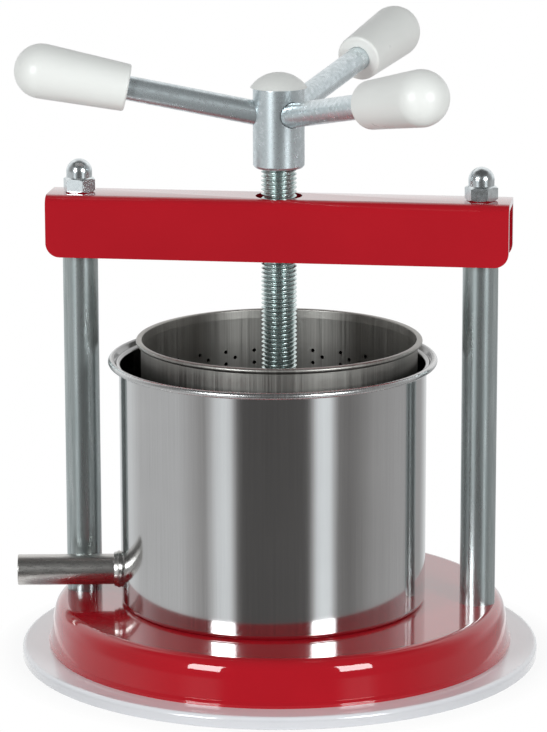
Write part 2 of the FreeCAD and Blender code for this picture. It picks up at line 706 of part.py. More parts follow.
def make_spindle_nut():
    """A block between the flanges, cut off along the bends of the crossbeam."""
    body = new_body("spindle_nut")
    half = f"({BEAM_WIDTH} / 2 - beam_sheet - weld_gap)"
    cut = "(beam_bend - beam_sheet + weld_gap)"
    bottom = f"{WEB_BOTTOM} - nut_block_height"
    extruded(body, "Block", [[
        (f"-{half} + {cut}", WEB_BOTTOM),
        (f"-{half}", f"{WEB_BOTTOM} - {cut}"),
        (f"-{half}", bottom, "nut_block_corner"),
        (half, bottom, "nut_block_corner"),
        (half, f"{WEB_BOTTOM} - {cut}"),
        (f"{half} - {cut}", WEB_BOTTOM),
    ]], "nut_block_length", plane="YZ_Plane", both=True)
    extruded(body, "Bore", [("circle", "0", "0", "screw_diameter / 2 + screw_play")],
             "4 * nut_block_height", kind="Pocket", level=WEB_BOTTOM, both=True)


# Screw, hub and handles

def make_spindle():
    body = new_body("spindle")
    half_groove = "(grub_diameter / 2 + grub_side_gap)"
    turned(body, "ScrewTurned", [
        ("0", NECK_BOTTOM),
        (NECK_RADIUS, NECK_BOTTOM),
        (NECK_RADIUS, f"{GROOVE_LEVEL} - {half_groove}"),
        (GROOVE_RADIUS, f"{GROOVE_LEVEL} - {half_groove}"),
        (GROOVE_RADIUS, f"{GROOVE_LEVEL} + {half_groove}"),
        (NECK_RADIUS, f"{GROOVE_LEVEL} + {half_groove}"),
        (NECK_RADIUS, NECK_TOP),
        ("screw_diameter / 2", NECK_TOP),
        ("screw_diameter / 2", SCREW_TOP),
        ("0", SCREW_TOP),
    ])


def make_hub():
    """A tube over the screw's end, with a hole for each rod in its upper part."""
    body = new_body("hub")
    bore = "screw_diameter / 2 + push_play"
    turned(body, "HubTurned", [
        (bore, "0"),
        (f"{HUB_RADIUS} - hub_edge", "0"),
        (HUB_RADIUS, "hub_edge"),
        (HUB_RADIUS, HUB_HEIGHT),
        (bore, HUB_HEIGHT),
    ])
    before = body.Shape.Volume
    hole = body.newObject("PartDesign::SubtractiveCylinder", "RodHole")
    hole.AttachmentSupport = [(origin_part(body, "XY_Plane"), "")]
    hole.MapMode = "FlatFace"
    bind(hole, "Radius", ROD_SOCKET)
    bind(hole, "Height", f"2 * {HUB_RADIUS}")
    lean = f"rotation(vector(0; 1; 0); 90 - {formula('rod_rise')})"
    hole.setExpression(
        "AttachmentOffset", f"placement(vector(0; 0; {formula('rod_level')}); {lean})")
    doc.recompute()
    if body.Shape.Volume >= before:
        raise ValueError("the rod hole misses the hub")
    round_about(body, "RodHoles", hole, str(len(HANDLES)))
    place(body, z=HUB_BOTTOM, turn=rod_turn(0))


def make_hub_cap():
    body = new_body("hub_cap")
    reach = f"({HUB_RADIUS} + cap_overhang)"
    rise = "cap_dome_height"
    stem = "screw_diameter / 2"
    turned(body, "CapTurned", [
        ("0", "-cap_stem_length"),
        (stem, "-cap_stem_length"),
        (stem, "0"),
        (reach, "0"),
        ("0", rise, "arc", f"({rise} ^ 2 + {reach} ^ 2) / (2 * {rise})", True),
    ])
    place(body, z=f"{HUB_BOTTOM} + {HUB_HEIGHT}")


def make_handle(side, index):
    rod = new_body(f"{side}_rod")
    turned(rod, "Rod", box_corners("0", ROD_ROOT, "rod_diameter / 2", "rod_reach"))
    place_on_rod(rod, rod_turn(index))
    grip = new_body(f"{side}_grip")
    turned(grip, "Grip", [
        ("0", GRIP_BORE),
        (ROD_SOCKET, GRIP_BORE),
        (ROD_SOCKET, "0"),
        ("grip_inner_radius", "0", "grip_edge_round"),
        ("grip_outer_radius", "grip_length - grip_outer_radius"),
        ("0", "grip_length", "arc", "grip_outer_radius", True),
    ])
    place_on_rod(grip, rod_turn(index), f"(rod_reach - {GRIP_BORE} + {side}_grip_gap)")


# Pressing plate, its boss and the grub screws that hold it on the screw

def make_press_plate():
    body = new_body("press_plate")
    inner = f"{PLATE_RADIUS} - plate_sheet"
    turned(body, "PlatePressed", [
        ("0", PLATE_BOTTOM),
        (PLATE_RADIUS, PLATE_BOTTOM, "plate_round"),
        (PLATE_RADIUS, f"{PLATE_BOTTOM} + plate_flange"),
        (inner, f"{PLATE_BOTTOM} + plate_flange"),
        (inner, BOSS_BOTTOM, "plate_round - plate_sheet"),
        ("0", BOSS_BOTTOM),
    ])


def make_plate_boss():
    body = new_body("plate_boss")
    bore = f"{NECK_RADIUS} + boss_play"
    turned(body, "BossTurned", [
        (bore, BOSS_BOTTOM),
        ("boss_radius", BOSS_BOTTOM),
        ("boss_radius", f"{NECK_TOP} - boss_edge"),
        ("boss_radius - boss_edge", NECK_TOP),
        (bore, NECK_TOP),
    ])
    extruded(body, "GrubHoles", [
        ("circle", "0", GROOVE_LEVEL, "grub_diameter / 2 + push_play")],
        "4 * boss_radius", kind="Pocket", plane="YZ_Plane", both=True)


def make_boss_grub_screws():
    grub = doc.addObject("Part::Cylinder", "grub_screw")
    tip = f"({GROOVE_RADIUS} + grub_tip_gap)"
    bind(grub, "Radius", "grub_diameter / 2")
    bind(grub, "Height", f"boss_radius - grub_sink - {tip}")
    spot = f"vector({formula(tip)}; 0; {formula(GROOVE_LEVEL)})"
    grub.setExpression("Placement", f"placement({spot}; rotation(vector(0; 1; 0); 90))")
    pair("boss_grub_screws", grub)


# Pot with its spout. In the pot's own frame the spout points along +X

def put_on_base(body):
    place(body, x="-bucket_to_left", y="-bucket_to_front", z=PAN_TOP, turn=SPOUT_TURN)


def make_bucket():
    body = new_body("bucket")
    lip = "bucket_height - bucket_lip_height"
    bead = f"{BUCKET_RIM} - bucket_bead_width"
    under = "bucket_height - bucket_bead_height"
    turned(body, "PotDrawn", [
        ("0", "0"),
        (BUCKET_RADIUS, "0", "bucket_round"),
        (BUCKET_RADIUS, lip, "bucket_lip_round"),
        (bead, under),
        (BUCKET_RIM, under, "bucket_bead_under"),
        (BUCKET_RIM, "bucket_height", "bucket_bead_over"),
        (bead, "bucket_height"),
        (BUCKET_INNER, f"{lip} + bucket_sheet", "bucket_lip_round"),
        (BUCKET_INNER, "bucket_floor", "bucket_round - bucket_sheet"),
        ("0", "bucket_floor"),
    ])
    extruded(body, "SpoutHole", [("circle", "0", "spout_level", SPOUT_BORE)],
             f"2 * {BUCKET_RADIUS}", kind="Pocket", plane="YZ_Plane", reverse=True)
    put_on_base(body)


def trim_to_wall(body):
    """Takes away what lies inside the pot's outer wall."""
    extruded(body, "TrimToWall", [("circle", "0", "0", BUCKET_RADIUS)],
             "2 * bucket_height", kind="Pocket", both=True)


def make_spout():
    """A tube with a thinner root, so that its collar sits against a shoulder."""
    body = new_body("spout")
    shoulder = f"({BUCKET_RADIUS} + collar_width)"
    extruded(body, "Root", [
        ("circle", "0", "spout_level", "spout_diameter / 2 - collar_seat"),
        ("circle", "0", "spout_level", SPOUT_BORE)], shoulder, plane="YZ_Plane")
    trim_to_wall(body)
    extruded(body, "Tube", [
        ("circle", "0", "spout_level", "spout_diameter / 2"),
        ("circle", "0", "spout_level", SPOUT_BORE)],
        "spout_length - collar_width", plane="YZ_Plane", level=shoulder)
    put_on_base(body)


def make_spout_collar():
    """A ring round the spout at the pot's wall, with a lower step outside it."""
    body = new_body("spout_collar")
    bore = "spout_diameter / 2 - collar_seat + push_play"
    reach = f"{BUCKET_RADIUS} + collar_width"
    for name, wall, length in (("CollarStep", "collar_step_wall", reach),
                               ("CollarRing", "collar_wall",
                                f"{reach} - collar_step_width")):
        extruded(body, name, [
            ("circle", "0", "spout_level", f"spout_diameter / 2 + {wall}"),
            ("circle", "0", "spout_level", bore)], length, plane="YZ_Plane")
    trim_to_wall(body)
    put_on_base(body)


# Perforated basket

def make_basket():
    body = new_body("basket")
    rim = "basket_radius + basket_rim_width"
    under = f"{BASKET_HEIGHT} - basket_bead_height"
    turned(body, "BasketDrawn", [
        ("0", "0"),
        ("basket_radius", "0", "basket_round"),
        ("basket_radius", under),
        (rim, under, "basket_bead_height / 4"),
        (rim, BASKET_HEIGHT, "basket_bead_height / 2"),
        ("basket_radius", BASKET_HEIGHT),
        (BASKET_INNER, f"{BASKET_HEIGHT} - basket_lip_height", "basket_lip_round"),
        (BASKET_INNER, "basket_floor", "basket_round - basket_sheet"),
        ("0", "basket_floor"),
    ])
    wall_holes = []
    for row in range(int(number("hole_rows"))):
        sideways = f"-{row % 2} * {HOLE_SHIFT}"
        level = f"({BASKET_HEIGHT} - hole_first_drop - {row} * {HOLE_PITCH})"
        wall_holes.append(small_hole(sideways, level))
    column = extruded(body, "HoleColumn", wall_holes, "8 * basket_sheet", kind="Pocket",
                      plane="XZ_Plane", level="basket_radius - 4 * basket_sheet",
                      reverse=True)
    round_about(body, "WallHoles", column, "hole_columns")
    floor_holes = [small_hole(FLOOR_RING, "0"),
                   small_hole(f"({FLOOR_RING} - floor_ring_step)", "0")]
    spoke = extruded(body, "FloorHolePair", floor_holes, "4 * basket_floor",
                     kind="Pocket", both=True)
    round_about(body, "FloorHoles", spoke, "floor_hole_count")
    place(body, z=BASKET_BOTTOM, turn="basket_turned")


def check_document():
    """Stops where an object failed or a piece has no sound shape."""
    doc.recompute()
    for thing in doc.Objects:
        if "Invalid" in thing.State or "Error" in thing.State:
            raise RuntimeError(f"{thing.Name} failed: {thing.State}")
    for node in nodes:
        if node.Shape.isNull() or not node.Shape.isValid() or not node.Shape.Solids:
            raise RuntimeError(f"{node.Label} has no sound shape")


fill_sheet()
make_foot_plate()
make_foot_screws()
make_base_pan()
make_tie_bar()
make_post("left_post", "-")
make_post("right_post", "")
make_post_washers()
make_post_nuts()
make_crossbeam()
make_spindle_nut()
make_cap_nut("left_cap_nut", "-", "left_nut_turn")
make_cap_nut("right_cap_nut", "", "right_nut_turn")
make_spindle()
make_hub()
make_hub_cap()
for place_in_turn, handle_side in enumerate(HANDLES):
    make_handle(handle_side, place_in_turn)
make_press_plate()
make_plate_boss()
make_boss_grub_screws()
make_bucket()
make_spout()
make_spout_collar()
make_basket()
check_document()

os.makedirs("parts", exist_ok=True)
for node in nodes:
    node.Shape.exportStep(f"parts/{node.Label}.step")
    print(f"{node.Label}: {len(node.Shape.Solids)} solid(s), {node.Shape.Volume:.0f} mm3")
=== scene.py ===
import json
import math

import bmesh
import bpy
from mathutils import Matrix, Vector


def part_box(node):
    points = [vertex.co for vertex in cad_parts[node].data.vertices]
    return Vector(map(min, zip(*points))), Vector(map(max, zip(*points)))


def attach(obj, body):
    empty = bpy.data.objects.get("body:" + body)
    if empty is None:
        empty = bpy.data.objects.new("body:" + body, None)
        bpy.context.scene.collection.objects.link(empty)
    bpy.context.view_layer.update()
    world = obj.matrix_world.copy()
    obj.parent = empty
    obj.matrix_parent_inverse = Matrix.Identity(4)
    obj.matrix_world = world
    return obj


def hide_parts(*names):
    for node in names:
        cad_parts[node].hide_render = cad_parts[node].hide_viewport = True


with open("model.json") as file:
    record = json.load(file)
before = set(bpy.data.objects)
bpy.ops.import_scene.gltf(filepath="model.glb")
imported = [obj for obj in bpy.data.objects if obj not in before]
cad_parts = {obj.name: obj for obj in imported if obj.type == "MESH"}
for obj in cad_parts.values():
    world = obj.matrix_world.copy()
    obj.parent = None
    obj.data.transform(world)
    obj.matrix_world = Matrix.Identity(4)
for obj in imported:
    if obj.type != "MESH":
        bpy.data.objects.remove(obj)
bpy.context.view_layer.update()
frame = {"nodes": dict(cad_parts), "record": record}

# The looks of a manual food press. Metres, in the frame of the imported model.

MM = 0.001
UP = Vector((0, 0, 1))


# Sizes from the frame and from the photo

def middle(node):
    low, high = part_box(node)
    return (low + high) / 2


def half_width(node):
    low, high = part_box(node)
    return (high.x - low.x) / 2


SPOUT = next(m for m in frame["record"]["mounts"] if m["name"] == "spout_end")
FOOT_TOP, PAN_TOP = (corner.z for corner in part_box("base_pan"))
PAN_RADIUS = 106.25 * MM
BEAM_LOW, BEAM_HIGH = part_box("crossbeam")
BEAM_SHEET = 3 * MM
POST_RADIUS = half_width("right_post")
HUB_LOW, HUB_HIGH = (corner.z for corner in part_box("hub"))
SCREW_RADIUS = 8 * MM
NECK_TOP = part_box("plate_boss")[1].z
POT_LOW, POT_HIGH = (corner.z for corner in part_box("bucket"))
POT_CENTRE = Vector((-2.5 * MM, -3.5 * MM, 0))
POT_WALL = 69.6 * MM
BASKET_LOW, BASKET_HIGH = (corner.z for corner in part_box("basket"))
BASKET_WALL = 62.7 * MM


# Camera, fitted to the photograph's edges

VIEW_AZIMUTH = math.radians(7.8104)
VIEW_ELEVATION = math.radians(12.941)
VIEW_ROLL = math.radians(-0.1323)
VIEW_DISTANCE = 1.65876
VIEW_SIDEWAYS = -2.6 * MM
VIEW_HEIGHT = 133.62 * MM
FRAME_HEIGHT_PX = 732
FOCAL_PX = 3656.45
SENSOR = 36.0


def view_axes(azimuth, elevation):
    """Right, up and back of a view from a place round the press, in front at azimuth 0."""
    back = Vector((math.sin(azimuth) * math.cos(elevation),
                   -math.cos(azimuth) * math.cos(elevation), math.sin(elevation)))
    right = (-back).cross(UP).normalized()
    return right, right.cross(-back), back


def add_camera():
    right, up, back = view_axes(VIEW_AZIMUTH, VIEW_ELEVATION)
    target = UP * VIEW_HEIGHT + right * VIEW_SIDEWAYS
    turned_right = right * math.cos(VIEW_ROLL) + up * math.sin(VIEW_ROLL)
    turned_up = up * math.cos(VIEW_ROLL) - right * math.sin(VIEW_ROLL)
    data = bpy.data.cameras.new("camera")
    data.sensor_fit = "VERTICAL"
    data.sensor_height = SENSOR
    data.lens = FOCAL_PX * SENSOR / FRAME_HEIGHT_PX
    data.clip_start = 0.05
    data.clip_end = 20
    camera = bpy.data.objects.new("camera", data)
    bpy.context.scene.collection.objects.link(camera)
    place = Matrix((turned_right, turned_up, back)).transposed().to_4x4()
    place.translation = target + back * VIEW_DISTANCE
    camera.matrix_world = place
    bpy.context.scene.camera = camera


# Shader helpers

def new_material(name, base, roughness, metallic=0.0, coat=0.0, coat_roughness=0.03,
                 subsurface=0.0):
    material = bpy.data.materials.new(name)
    material.use_nodes = True
    shader = material.node_tree.nodes["Principled BSDF"]
    shader.inputs["Base Color"].default_value = (*base, 1)
    shader.inputs["Roughness"].default_value = roughness
    shader.inputs["Metallic"].default_value = metallic
    shader.inputs["Coat Weight"].default_value = coat
    shader.inputs["Coat Roughness"].default_value = coat_roughness
    shader.inputs["Subsurface Weight"].default_value = subsurface
    shader.inputs["Subsurface Radius"].default_value = (1, 1, 1)
    shader.inputs["Subsurface Scale"].default_value = 2 * MM
    return material, material.node_tree, shader


def link(tree, source, target):
    tree.links.new(source, target)


def add_node(tree, kind, **settings):
    node = tree.nodes.new(kind)
    for key, value in settings.items():
        setattr(node, key, value)
    return node


def feed(tree, node, values):
    """Links or sets the node's first inputs, in order, and leaves those that are None."""
    for socket, value in zip(node.inputs, values):
        if isinstance(value, bpy.types.NodeSocket):
            link(tree, value, socket)
        elif value is not None:
            socket.default_value = value


def maths(tree, operation, first, second=None):
    node = add_node(tree, "ShaderNodeMath", operation=operation)
    feed(tree, node, (first, second))
    return node.outputs[0]


def vectors(tree, operation, *values, result="Vector"):
    node = add_node(tree, "ShaderNodeVectorMath", operation=operation)
    feed(tree, node, values)
    return node.outputs[result]


def highest(tree, first, *others):
    """The greatest of several values."""
    for other in others:
        first = maths(tree, "MAXIMUM", first, other)
    return first


def split(tree, vector):
    """The X, Y and Z of a vector, by name."""
    node = add_node(tree, "ShaderNodeSeparateXYZ")
    link(tree, vector, node.inputs[0])
    return node.outputs


def texture_point(tree, kind="Object"):
    return add_node(tree, "ShaderNodeTexCoord").outputs[kind]


def stretched_point(tree, scale):
    mapping = add_node(tree, "ShaderNodeMapping")
    mapping.inputs["Scale"].default_value = scale
    link(tree, texture_point(tree), mapping.inputs["Vector"])
    return mapping.outputs["Vector"]


def round_point(tree, radius, around, along, centre):
    """Texture point that runs round the Z axis and along it, each with its own scale."""
    parts = split(tree, texture_point(tree))
    x = maths(tree, "SUBTRACT", parts["X"], centre[0])
    y = maths(tree, "SUBTRACT", parts["Y"], centre[1])
    turn = maths(tree, "ARCTAN2", y, x)
    point = add_node(tree, "ShaderNodeCombineXYZ")
    feed(tree, point, (maths(tree, "MULTIPLY", turn, radius * around),
                       maths(tree, "MULTIPLY", parts["Z"], along)))
    return point.outputs[0]


def noise(tree, point, scale, detail, roughness=0.55):
    node = add_node(tree, "ShaderNodeTexNoise")
    node.inputs["Scale"].default_value = scale
    node.inputs["Detail"].default_value = detail
    node.inputs["Roughness"].default_value = roughness
    link(tree, point, node.inputs["Vector"])
    return node.outputs["Fac"]


def between(tree, factor, low, high, from_low=0.3, from_high=0.7):
    """From low to high, while the factor goes from from_low to from_high."""
    node = add_node(tree, "ShaderNodeMapRange")
    node.inputs["From Min"].default_value = from_low
    node.inputs["From Max"].default_value = from_high
    node.inputs["To Min"].default_value = low
    node.inputs["To Max"].default_value = high
    link(tree, factor, node.inputs["Value"])
    return node.outputs[0]


def mix_colours(tree, factor, first, second):
    """From the first colour to the second, each three numbers or a link."""
    node = add_node(tree, "ShaderNodeMix", data_type="RGBA")
    link(tree, factor, node.inputs["Factor"])
    sockets = [socket for socket in node.inputs if socket.type == "RGBA"]
    for socket, colour in zip(sockets, (first, second)):
        if isinstance(colour, tuple):
            socket.default_value = (*colour, 1)
        else:
            link(tree, colour, socket)
    return next(socket for socket in node.outputs if socket.type == "RGBA")


def scaled(tree, colour, factor):
    return vectors(tree, "SCALE", colour, None, None, factor)


def mix_shaders(tree, factor, first, second, output):
    node = add_node(tree, "ShaderNodeMixShader")
    feed(tree, node, (factor, first.outputs[0], second.outputs[0]))
    link(tree, node.outputs[0], output.inputs["Surface"])


def bump(tree, shader, height, strength, distance):
    node = add_node(tree, "ShaderNodeBump")
    node.inputs["Strength"].default_value = strength
    node.inputs["Distance"].default_value = distance
    link(tree, height, node.inputs["Height"])
    link(tree, node.outputs["Normal"], shader.inputs["Normal"])


# Materials

SATIN = 0.16


def red_paint():
    material, tree, shader = new_material(
        "red_paint", (0.43, 0.012, 0.022), 0.12, coat=1.0, coat_roughness=0.02)
    shader.inputs["Specular Tint"].default_value = (0.05, 0.05, 0.05, 1)
    point = texture_point(tree)
    shade = between(tree, noise(tree, point, scale=18, detail=4), 0, 1)
    colour = mix_colours(tree, shade, (0.47, 0.009, 0.018), (0.43, 0.008, 0.016))
    link(tree, colour, shader.inputs["Base Color"])
    grain = noise(tree, point, scale=260, detail=2)
    bump(tree, shader, grain, strength=0.05, distance=0.2 * MM)
    return material


def zinc(name, bright, dull, roughness, grain, stretch=(1, 1, 1), metallic=1.0):
    """Zinc plating, mottled from bright to dull."""
    material, tree, shader = new_material(name, bright, roughness, metallic=metallic)
    point = stretched_point(tree, stretch)
    mottle = noise(tree, point, scale=grain, detail=5, roughness=0.65)
    colour = mix_colours(tree, between(tree, mottle, 0, 1), bright, dull)
    link(tree, colour, shader.inputs["Base Color"])
    rough = between(tree, mottle, roughness * 0.8, roughness * 1.35)
    link(tree, rough, shader.inputs["Roughness"])
    bump(tree, shader, mottle, strength=0.12, distance=0.05 * MM)
    return material


def steel(name, bright, dull, roughness, radius, centre=(0, 0), around=400, along=400,
          relief=0.05, satin_from=1.0, inside=1.0):
    """Stainless sheet with fine lines up and down, satin past a radius, and painted shade that
    darkens the faces looking in towards the axis.
    """
    material, tree, shader = new_material(name, bright, roughness, metallic=1.0)
    point = round_point(tree, radius, around, along, centre)
    lines = noise(tree, point, scale=1.0, detail=4, roughness=0.65)
    cloud = noise(tree, texture_point(tree), scale=22, detail=3, roughness=0.5)
    both = maths(tree, "MULTIPLY", maths(tree, "ADD", lines, cloud), 0.5)
    colour = mix_colours(tree, between(tree, both, 0, 1, 0.35, 0.65), dull, bright)
    from_axis = vectors(tree, "MULTIPLY_ADD", texture_point(tree), (1, 1, 0),
                        (-centre[0], -centre[1], 0))
    outward = vectors(tree, "DOT_PRODUCT", from_axis, texture_point(tree, "Normal"),
                      result="Value")
    # Painted shade: the colour is scaled down to the inside factor where the face looks in
    # towards the axis.
    edge = 0.3 * radius
    shade = between(tree, outward, inside, 1, -edge, edge)
    link(tree, scaled(tree, colour, shade), shader.inputs["Base Color"])
    reach = vectors(tree, "LENGTH", from_axis, result="Value")
    satin = between(tree, reach, 0, SATIN, satin_from, satin_from + MM)
    rough = maths(tree, "ADD", between(tree, lines, roughness * 0.8, roughness * 1.3), satin)
    link(tree, rough, shader.inputs["Roughness"])
    bump(tree, shader, lines, strength=relief, distance=0.02 * MM)
    return material


def plastic(name, base, second, roughness, subsurface=0.0, side_shade=1.0, gloss=0.5,
            coat=0.0):
    """Moulded plastic, whose upright sides may be darkened by painted shade."""
    material, tree, shader = new_material(
        name, base, roughness, subsurface=subsurface, coat=coat, coat_roughness=0.1)
    shader.inputs["Specular IOR Level"].default_value = gloss
    point = texture_point(tree)
    cloud = noise(tree, point, scale=30, detail=3)
    colour = mix_colours(tree, between(tree, cloud, 0, 1), base, second)
    # Painted shade: faces that do not look up are darkened towards side_shade.
    if side_shade < 1:
        facing_up = split(tree, texture_point(tree, "Normal"))["Z"]
        colour = scaled(tree, colour, between(tree, facing_up, side_shade, 1, 0.1, 0.8))
    link(tree, colour, shader.inputs["Base Color"])
    patches = noise(tree, point, scale=60, detail=4)
    rough = between(tree, patches, roughness * 0.85, roughness * 1.2)
    link(tree, rough, shader.inputs["Roughness"])
    grain = noise(tree, point, scale=900, detail=2)
    bump(tree, shader, grain, strength=0.04, distance=0.05 * MM)
    return material


PAINT = red_paint()
ZINC_ROD = zinc("zinc_rod", (0.80, 0.87, 0.90), (0.56, 0.62, 0.64), roughness=0.28,
                grain=420, metallic=0.78)
ZINC_NUT = zinc("zinc_nut", (0.80, 0.85, 0.86), (0.60, 0.64, 0.66), roughness=0.22,
                grain=500)
ZINC_SCREW = zinc("zinc_screw", (0.68, 0.77, 0.76), (0.52, 0.61, 0.60), roughness=0.24,
                  grain=300)
ZINC_POST = zinc("zinc_post", (0.55, 0.60, 0.60), (0.36, 0.41, 0.41), roughness=0.28,
                 grain=700, stretch=(1, 1, 0.05), metallic=0.92)
SPOUT_STEEL = zinc("spout_steel", (0.66, 0.65, 0.63), (0.46, 0.44, 0.42), roughness=0.27,
                   grain=900, stretch=(0.04, 1, 1))
# inside=0.45 paints shade on the pot's inner wall, in the gap round the basket.
POT_STEEL = steel("pot_steel", (0.64, 0.64, 0.64), (0.57, 0.57, 0.57), roughness=0.10,
                  radius=POT_WALL, centre=POT_CENTRE[:2], around=1500, along=12,
                  relief=0.0, satin_from=71.5 * MM, inside=0.45)
# inside=0.95 paints a slight shade on the basket's inner wall.
BASKET_STEEL = steel("basket_steel", (0.45, 0.435, 0.41), (0.27, 0.26, 0.245),
                     roughness=0.40, radius=BASKET_WALL, around=1300, along=9,
                     relief=0.12, inside=0.95)
PLATE_STEEL = steel("plate_steel", (0.60, 0.59, 0.58), (0.52, 0.51, 0.50),
                    roughness=0.30, radius=60 * MM)
WHITE_PLASTIC = plastic("white_plastic", (0.90, 0.90, 0.87), (0.87, 0.87, 0.84),
                        roughness=0.32, subsurface=0.15)
# side_shade=0.76 paints shade on the foot's upright rim, so it renders darker than the top.
FOOT_PLASTIC = plastic("foot_plastic", (0.90, 0.89, 0.92), (0.87, 0.86, 0.89),
                       roughness=0.16, side_shade=0.76, gloss=0.6, coat=1.0)


# Mesh helpers

ON_AXIS = 1e-7
SUPPORT = 0.25 * MM


def add_object(bm, name):
    mesh = bpy.data.meshes.new(name)
    bm.to_mesh(mesh)
    bm.free()
    made = bpy.data.objects.new(name, mesh)
    bpy.context.scene.collection.objects.link(made)
    return made


def finish_piece(bm, name, material, body, nodes, sharp=30, closed=True):
    """Makes the object, smooth but for its sharp edges, and ties it to the frame."""
    if closed:
        bmesh.ops.recalc_face_normals(bm, faces=bm.faces)
    piece = add_object(bm, name)
    smooth(piece, sharp)
    piece.data.materials.append(material)
    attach(piece, body)
    if nodes:
        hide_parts(*nodes)
    return piece


def smooth(piece, sharp=30):
    mesh = piece.data
    for face in mesh.polygons:
        face.use_smooth = True
    mesh.set_sharp_from_angle(angle=math.radians(sharp))


def soften_edges(piece, width, angle, harden=False):
    """Rounds the edges that are sharper than the angle."""
    bevel = piece.modifiers.new("edges", "BEVEL")
    bevel.width = width
    bevel.segments = 3
    bevel.limit_method = "ANGLE"
    bevel.angle_limit = math.radians(angle)
    bevel.harden_normals = harden
    smooth(piece, angle)


def arc(x, y, radius, start, end, steps):
    """Points on an arc, from start to end in degrees."""
    points = []
    for i in range(steps + 1):
        a = math.radians(start + (end - start) * i / steps)
        points.append((x + radius * math.cos(a), y + radius * math.sin(a)))
    return points


def cap_arc(radius, rise, top, steps):
    """Points up the side of a round cap, from its edge to its top on the axis."""
    sphere = (rise ** 2 + radius ** 2) / (2 * rise)
    start = math.degrees(math.asin((sphere - rise) / sphere))
    return arc(0, top - sphere, sphere, start, 90, steps)


def rounded(corners, steps=8):
    """A closed outline whose corners (x, y, radius) are rounded."""
    points = []
    count = len(corners)
    for i, corner in enumerate(corners):
        here = Vector(corner[:2])
        radius = corner[2] if len(corner) > 2 else 0
        if not radius:
            points.append(tuple(here))
            continue
        back = (Vector(corners[i - 1][:2]) - here).normalized()
        onward = (Vector(corners[(i + 1) % count][:2]) - here).normalized()
        half = back.angle(onward) / 2
        centre = here + (back + onward).normalized() * (radius / math.sin(half))
        first = here + back * (radius / math.tan(half)) - centre
        last = here + onward * (radius / math.tan(half)) - centre
        turn = first.angle_signed(last)
        for k in range(steps + 1):
            a = -turn * k / steps
            points.append((centre.x + first.x * math.cos(a) - first.y * math.sin(a),
                           centre.y + first.x * math.sin(a) + first.y * math.cos(a)))
    return points


def supported(outline):
    """The closed outline with a point near each end of its long stretches.

    A wide face then keeps its own normals beside a small rounding.
    """
    points = []
    for i, point in enumerate(outline):
        here = Vector(point)
        onward = Vector(outline[(i + 1) % len(outline)]) - here
        points.append(tuple(here))
        if onward.length > 8 * SUPPORT and max(here.x, here.x + onward.x) > ON_AXIS:
            step = onward.normalized() * SUPPORT
            points += [tuple(here + step), tuple(here + onward - step)]
    return points


def lathe(outline, segments, place=Matrix.Identity(4), swell=None):
    """A closed outline of (radius, height) turned round the Z axis, then placed.

    swell(angle, radius, height), where given, returns the radius and height there.
    """
    bm = bmesh.new()
    rings = []
    for radius, height in outline if swell else supported(outline):
        if radius < ON_AXIS:
            rings.append([bm.verts.new(place @ Vector((0, 0, height)))])
            continue
        ring = []
        for k in range(segments):
            a = 2 * math.pi * k / segments
            r, z = swell(a, radius, height) if swell else (radius, height)
            ring.append(bm.verts.new(place @ Vector((r * math.cos(a), r * math.sin(a), z))))
        rings.append(ring)
    for i, ring in enumerate(rings):
        after = rings[(i + 1) % len(rings)]
        if len(ring) == 1 and len(after) == 1:
            continue
        for k in range(segments):
            n = (k + 1) % segments
            corners = [ring[k % len(ring)], ring[n % len(ring)],
                       after[n % len(after)], after[k % len(after)]]
            unique = list(dict.fromkeys(corners))
            if len(unique) > 2:
                bm.faces.new(unique)
    return bm


def cut_with(piece, cutters):
    """Cuts the cutters' shapes out of the piece and deletes the cutters."""
    for cutter in cutters:
        modifier = piece.modifiers.new("cut", "BOOLEAN")
        modifier.object = cutter
        modifier.solver = "EXACT"
    bpy.context.view_layer.update()
    graph = bpy.context.evaluated_depsgraph_get()
    mesh = bpy.data.meshes.new_from_object(piece.evaluated_get(graph))
    piece.modifiers.clear()
    piece.data = mesh
    for cutter in cutters:
        bpy.data.objects.remove(cutter)


def cutter_cylinder(radius, start, direction, length, segments=64):
    place = direction.to_track_quat("Z", "Y").to_matrix().to_4x4()
    place.translation = start
    bm = lathe([(0, 0), (radius, 0), (radius, length), (0, length)], segments, place)
    bmesh.ops.recalc_face_normals(bm, faces=bm.faces)
    return add_object(bm, "cutter")


# Foot and base

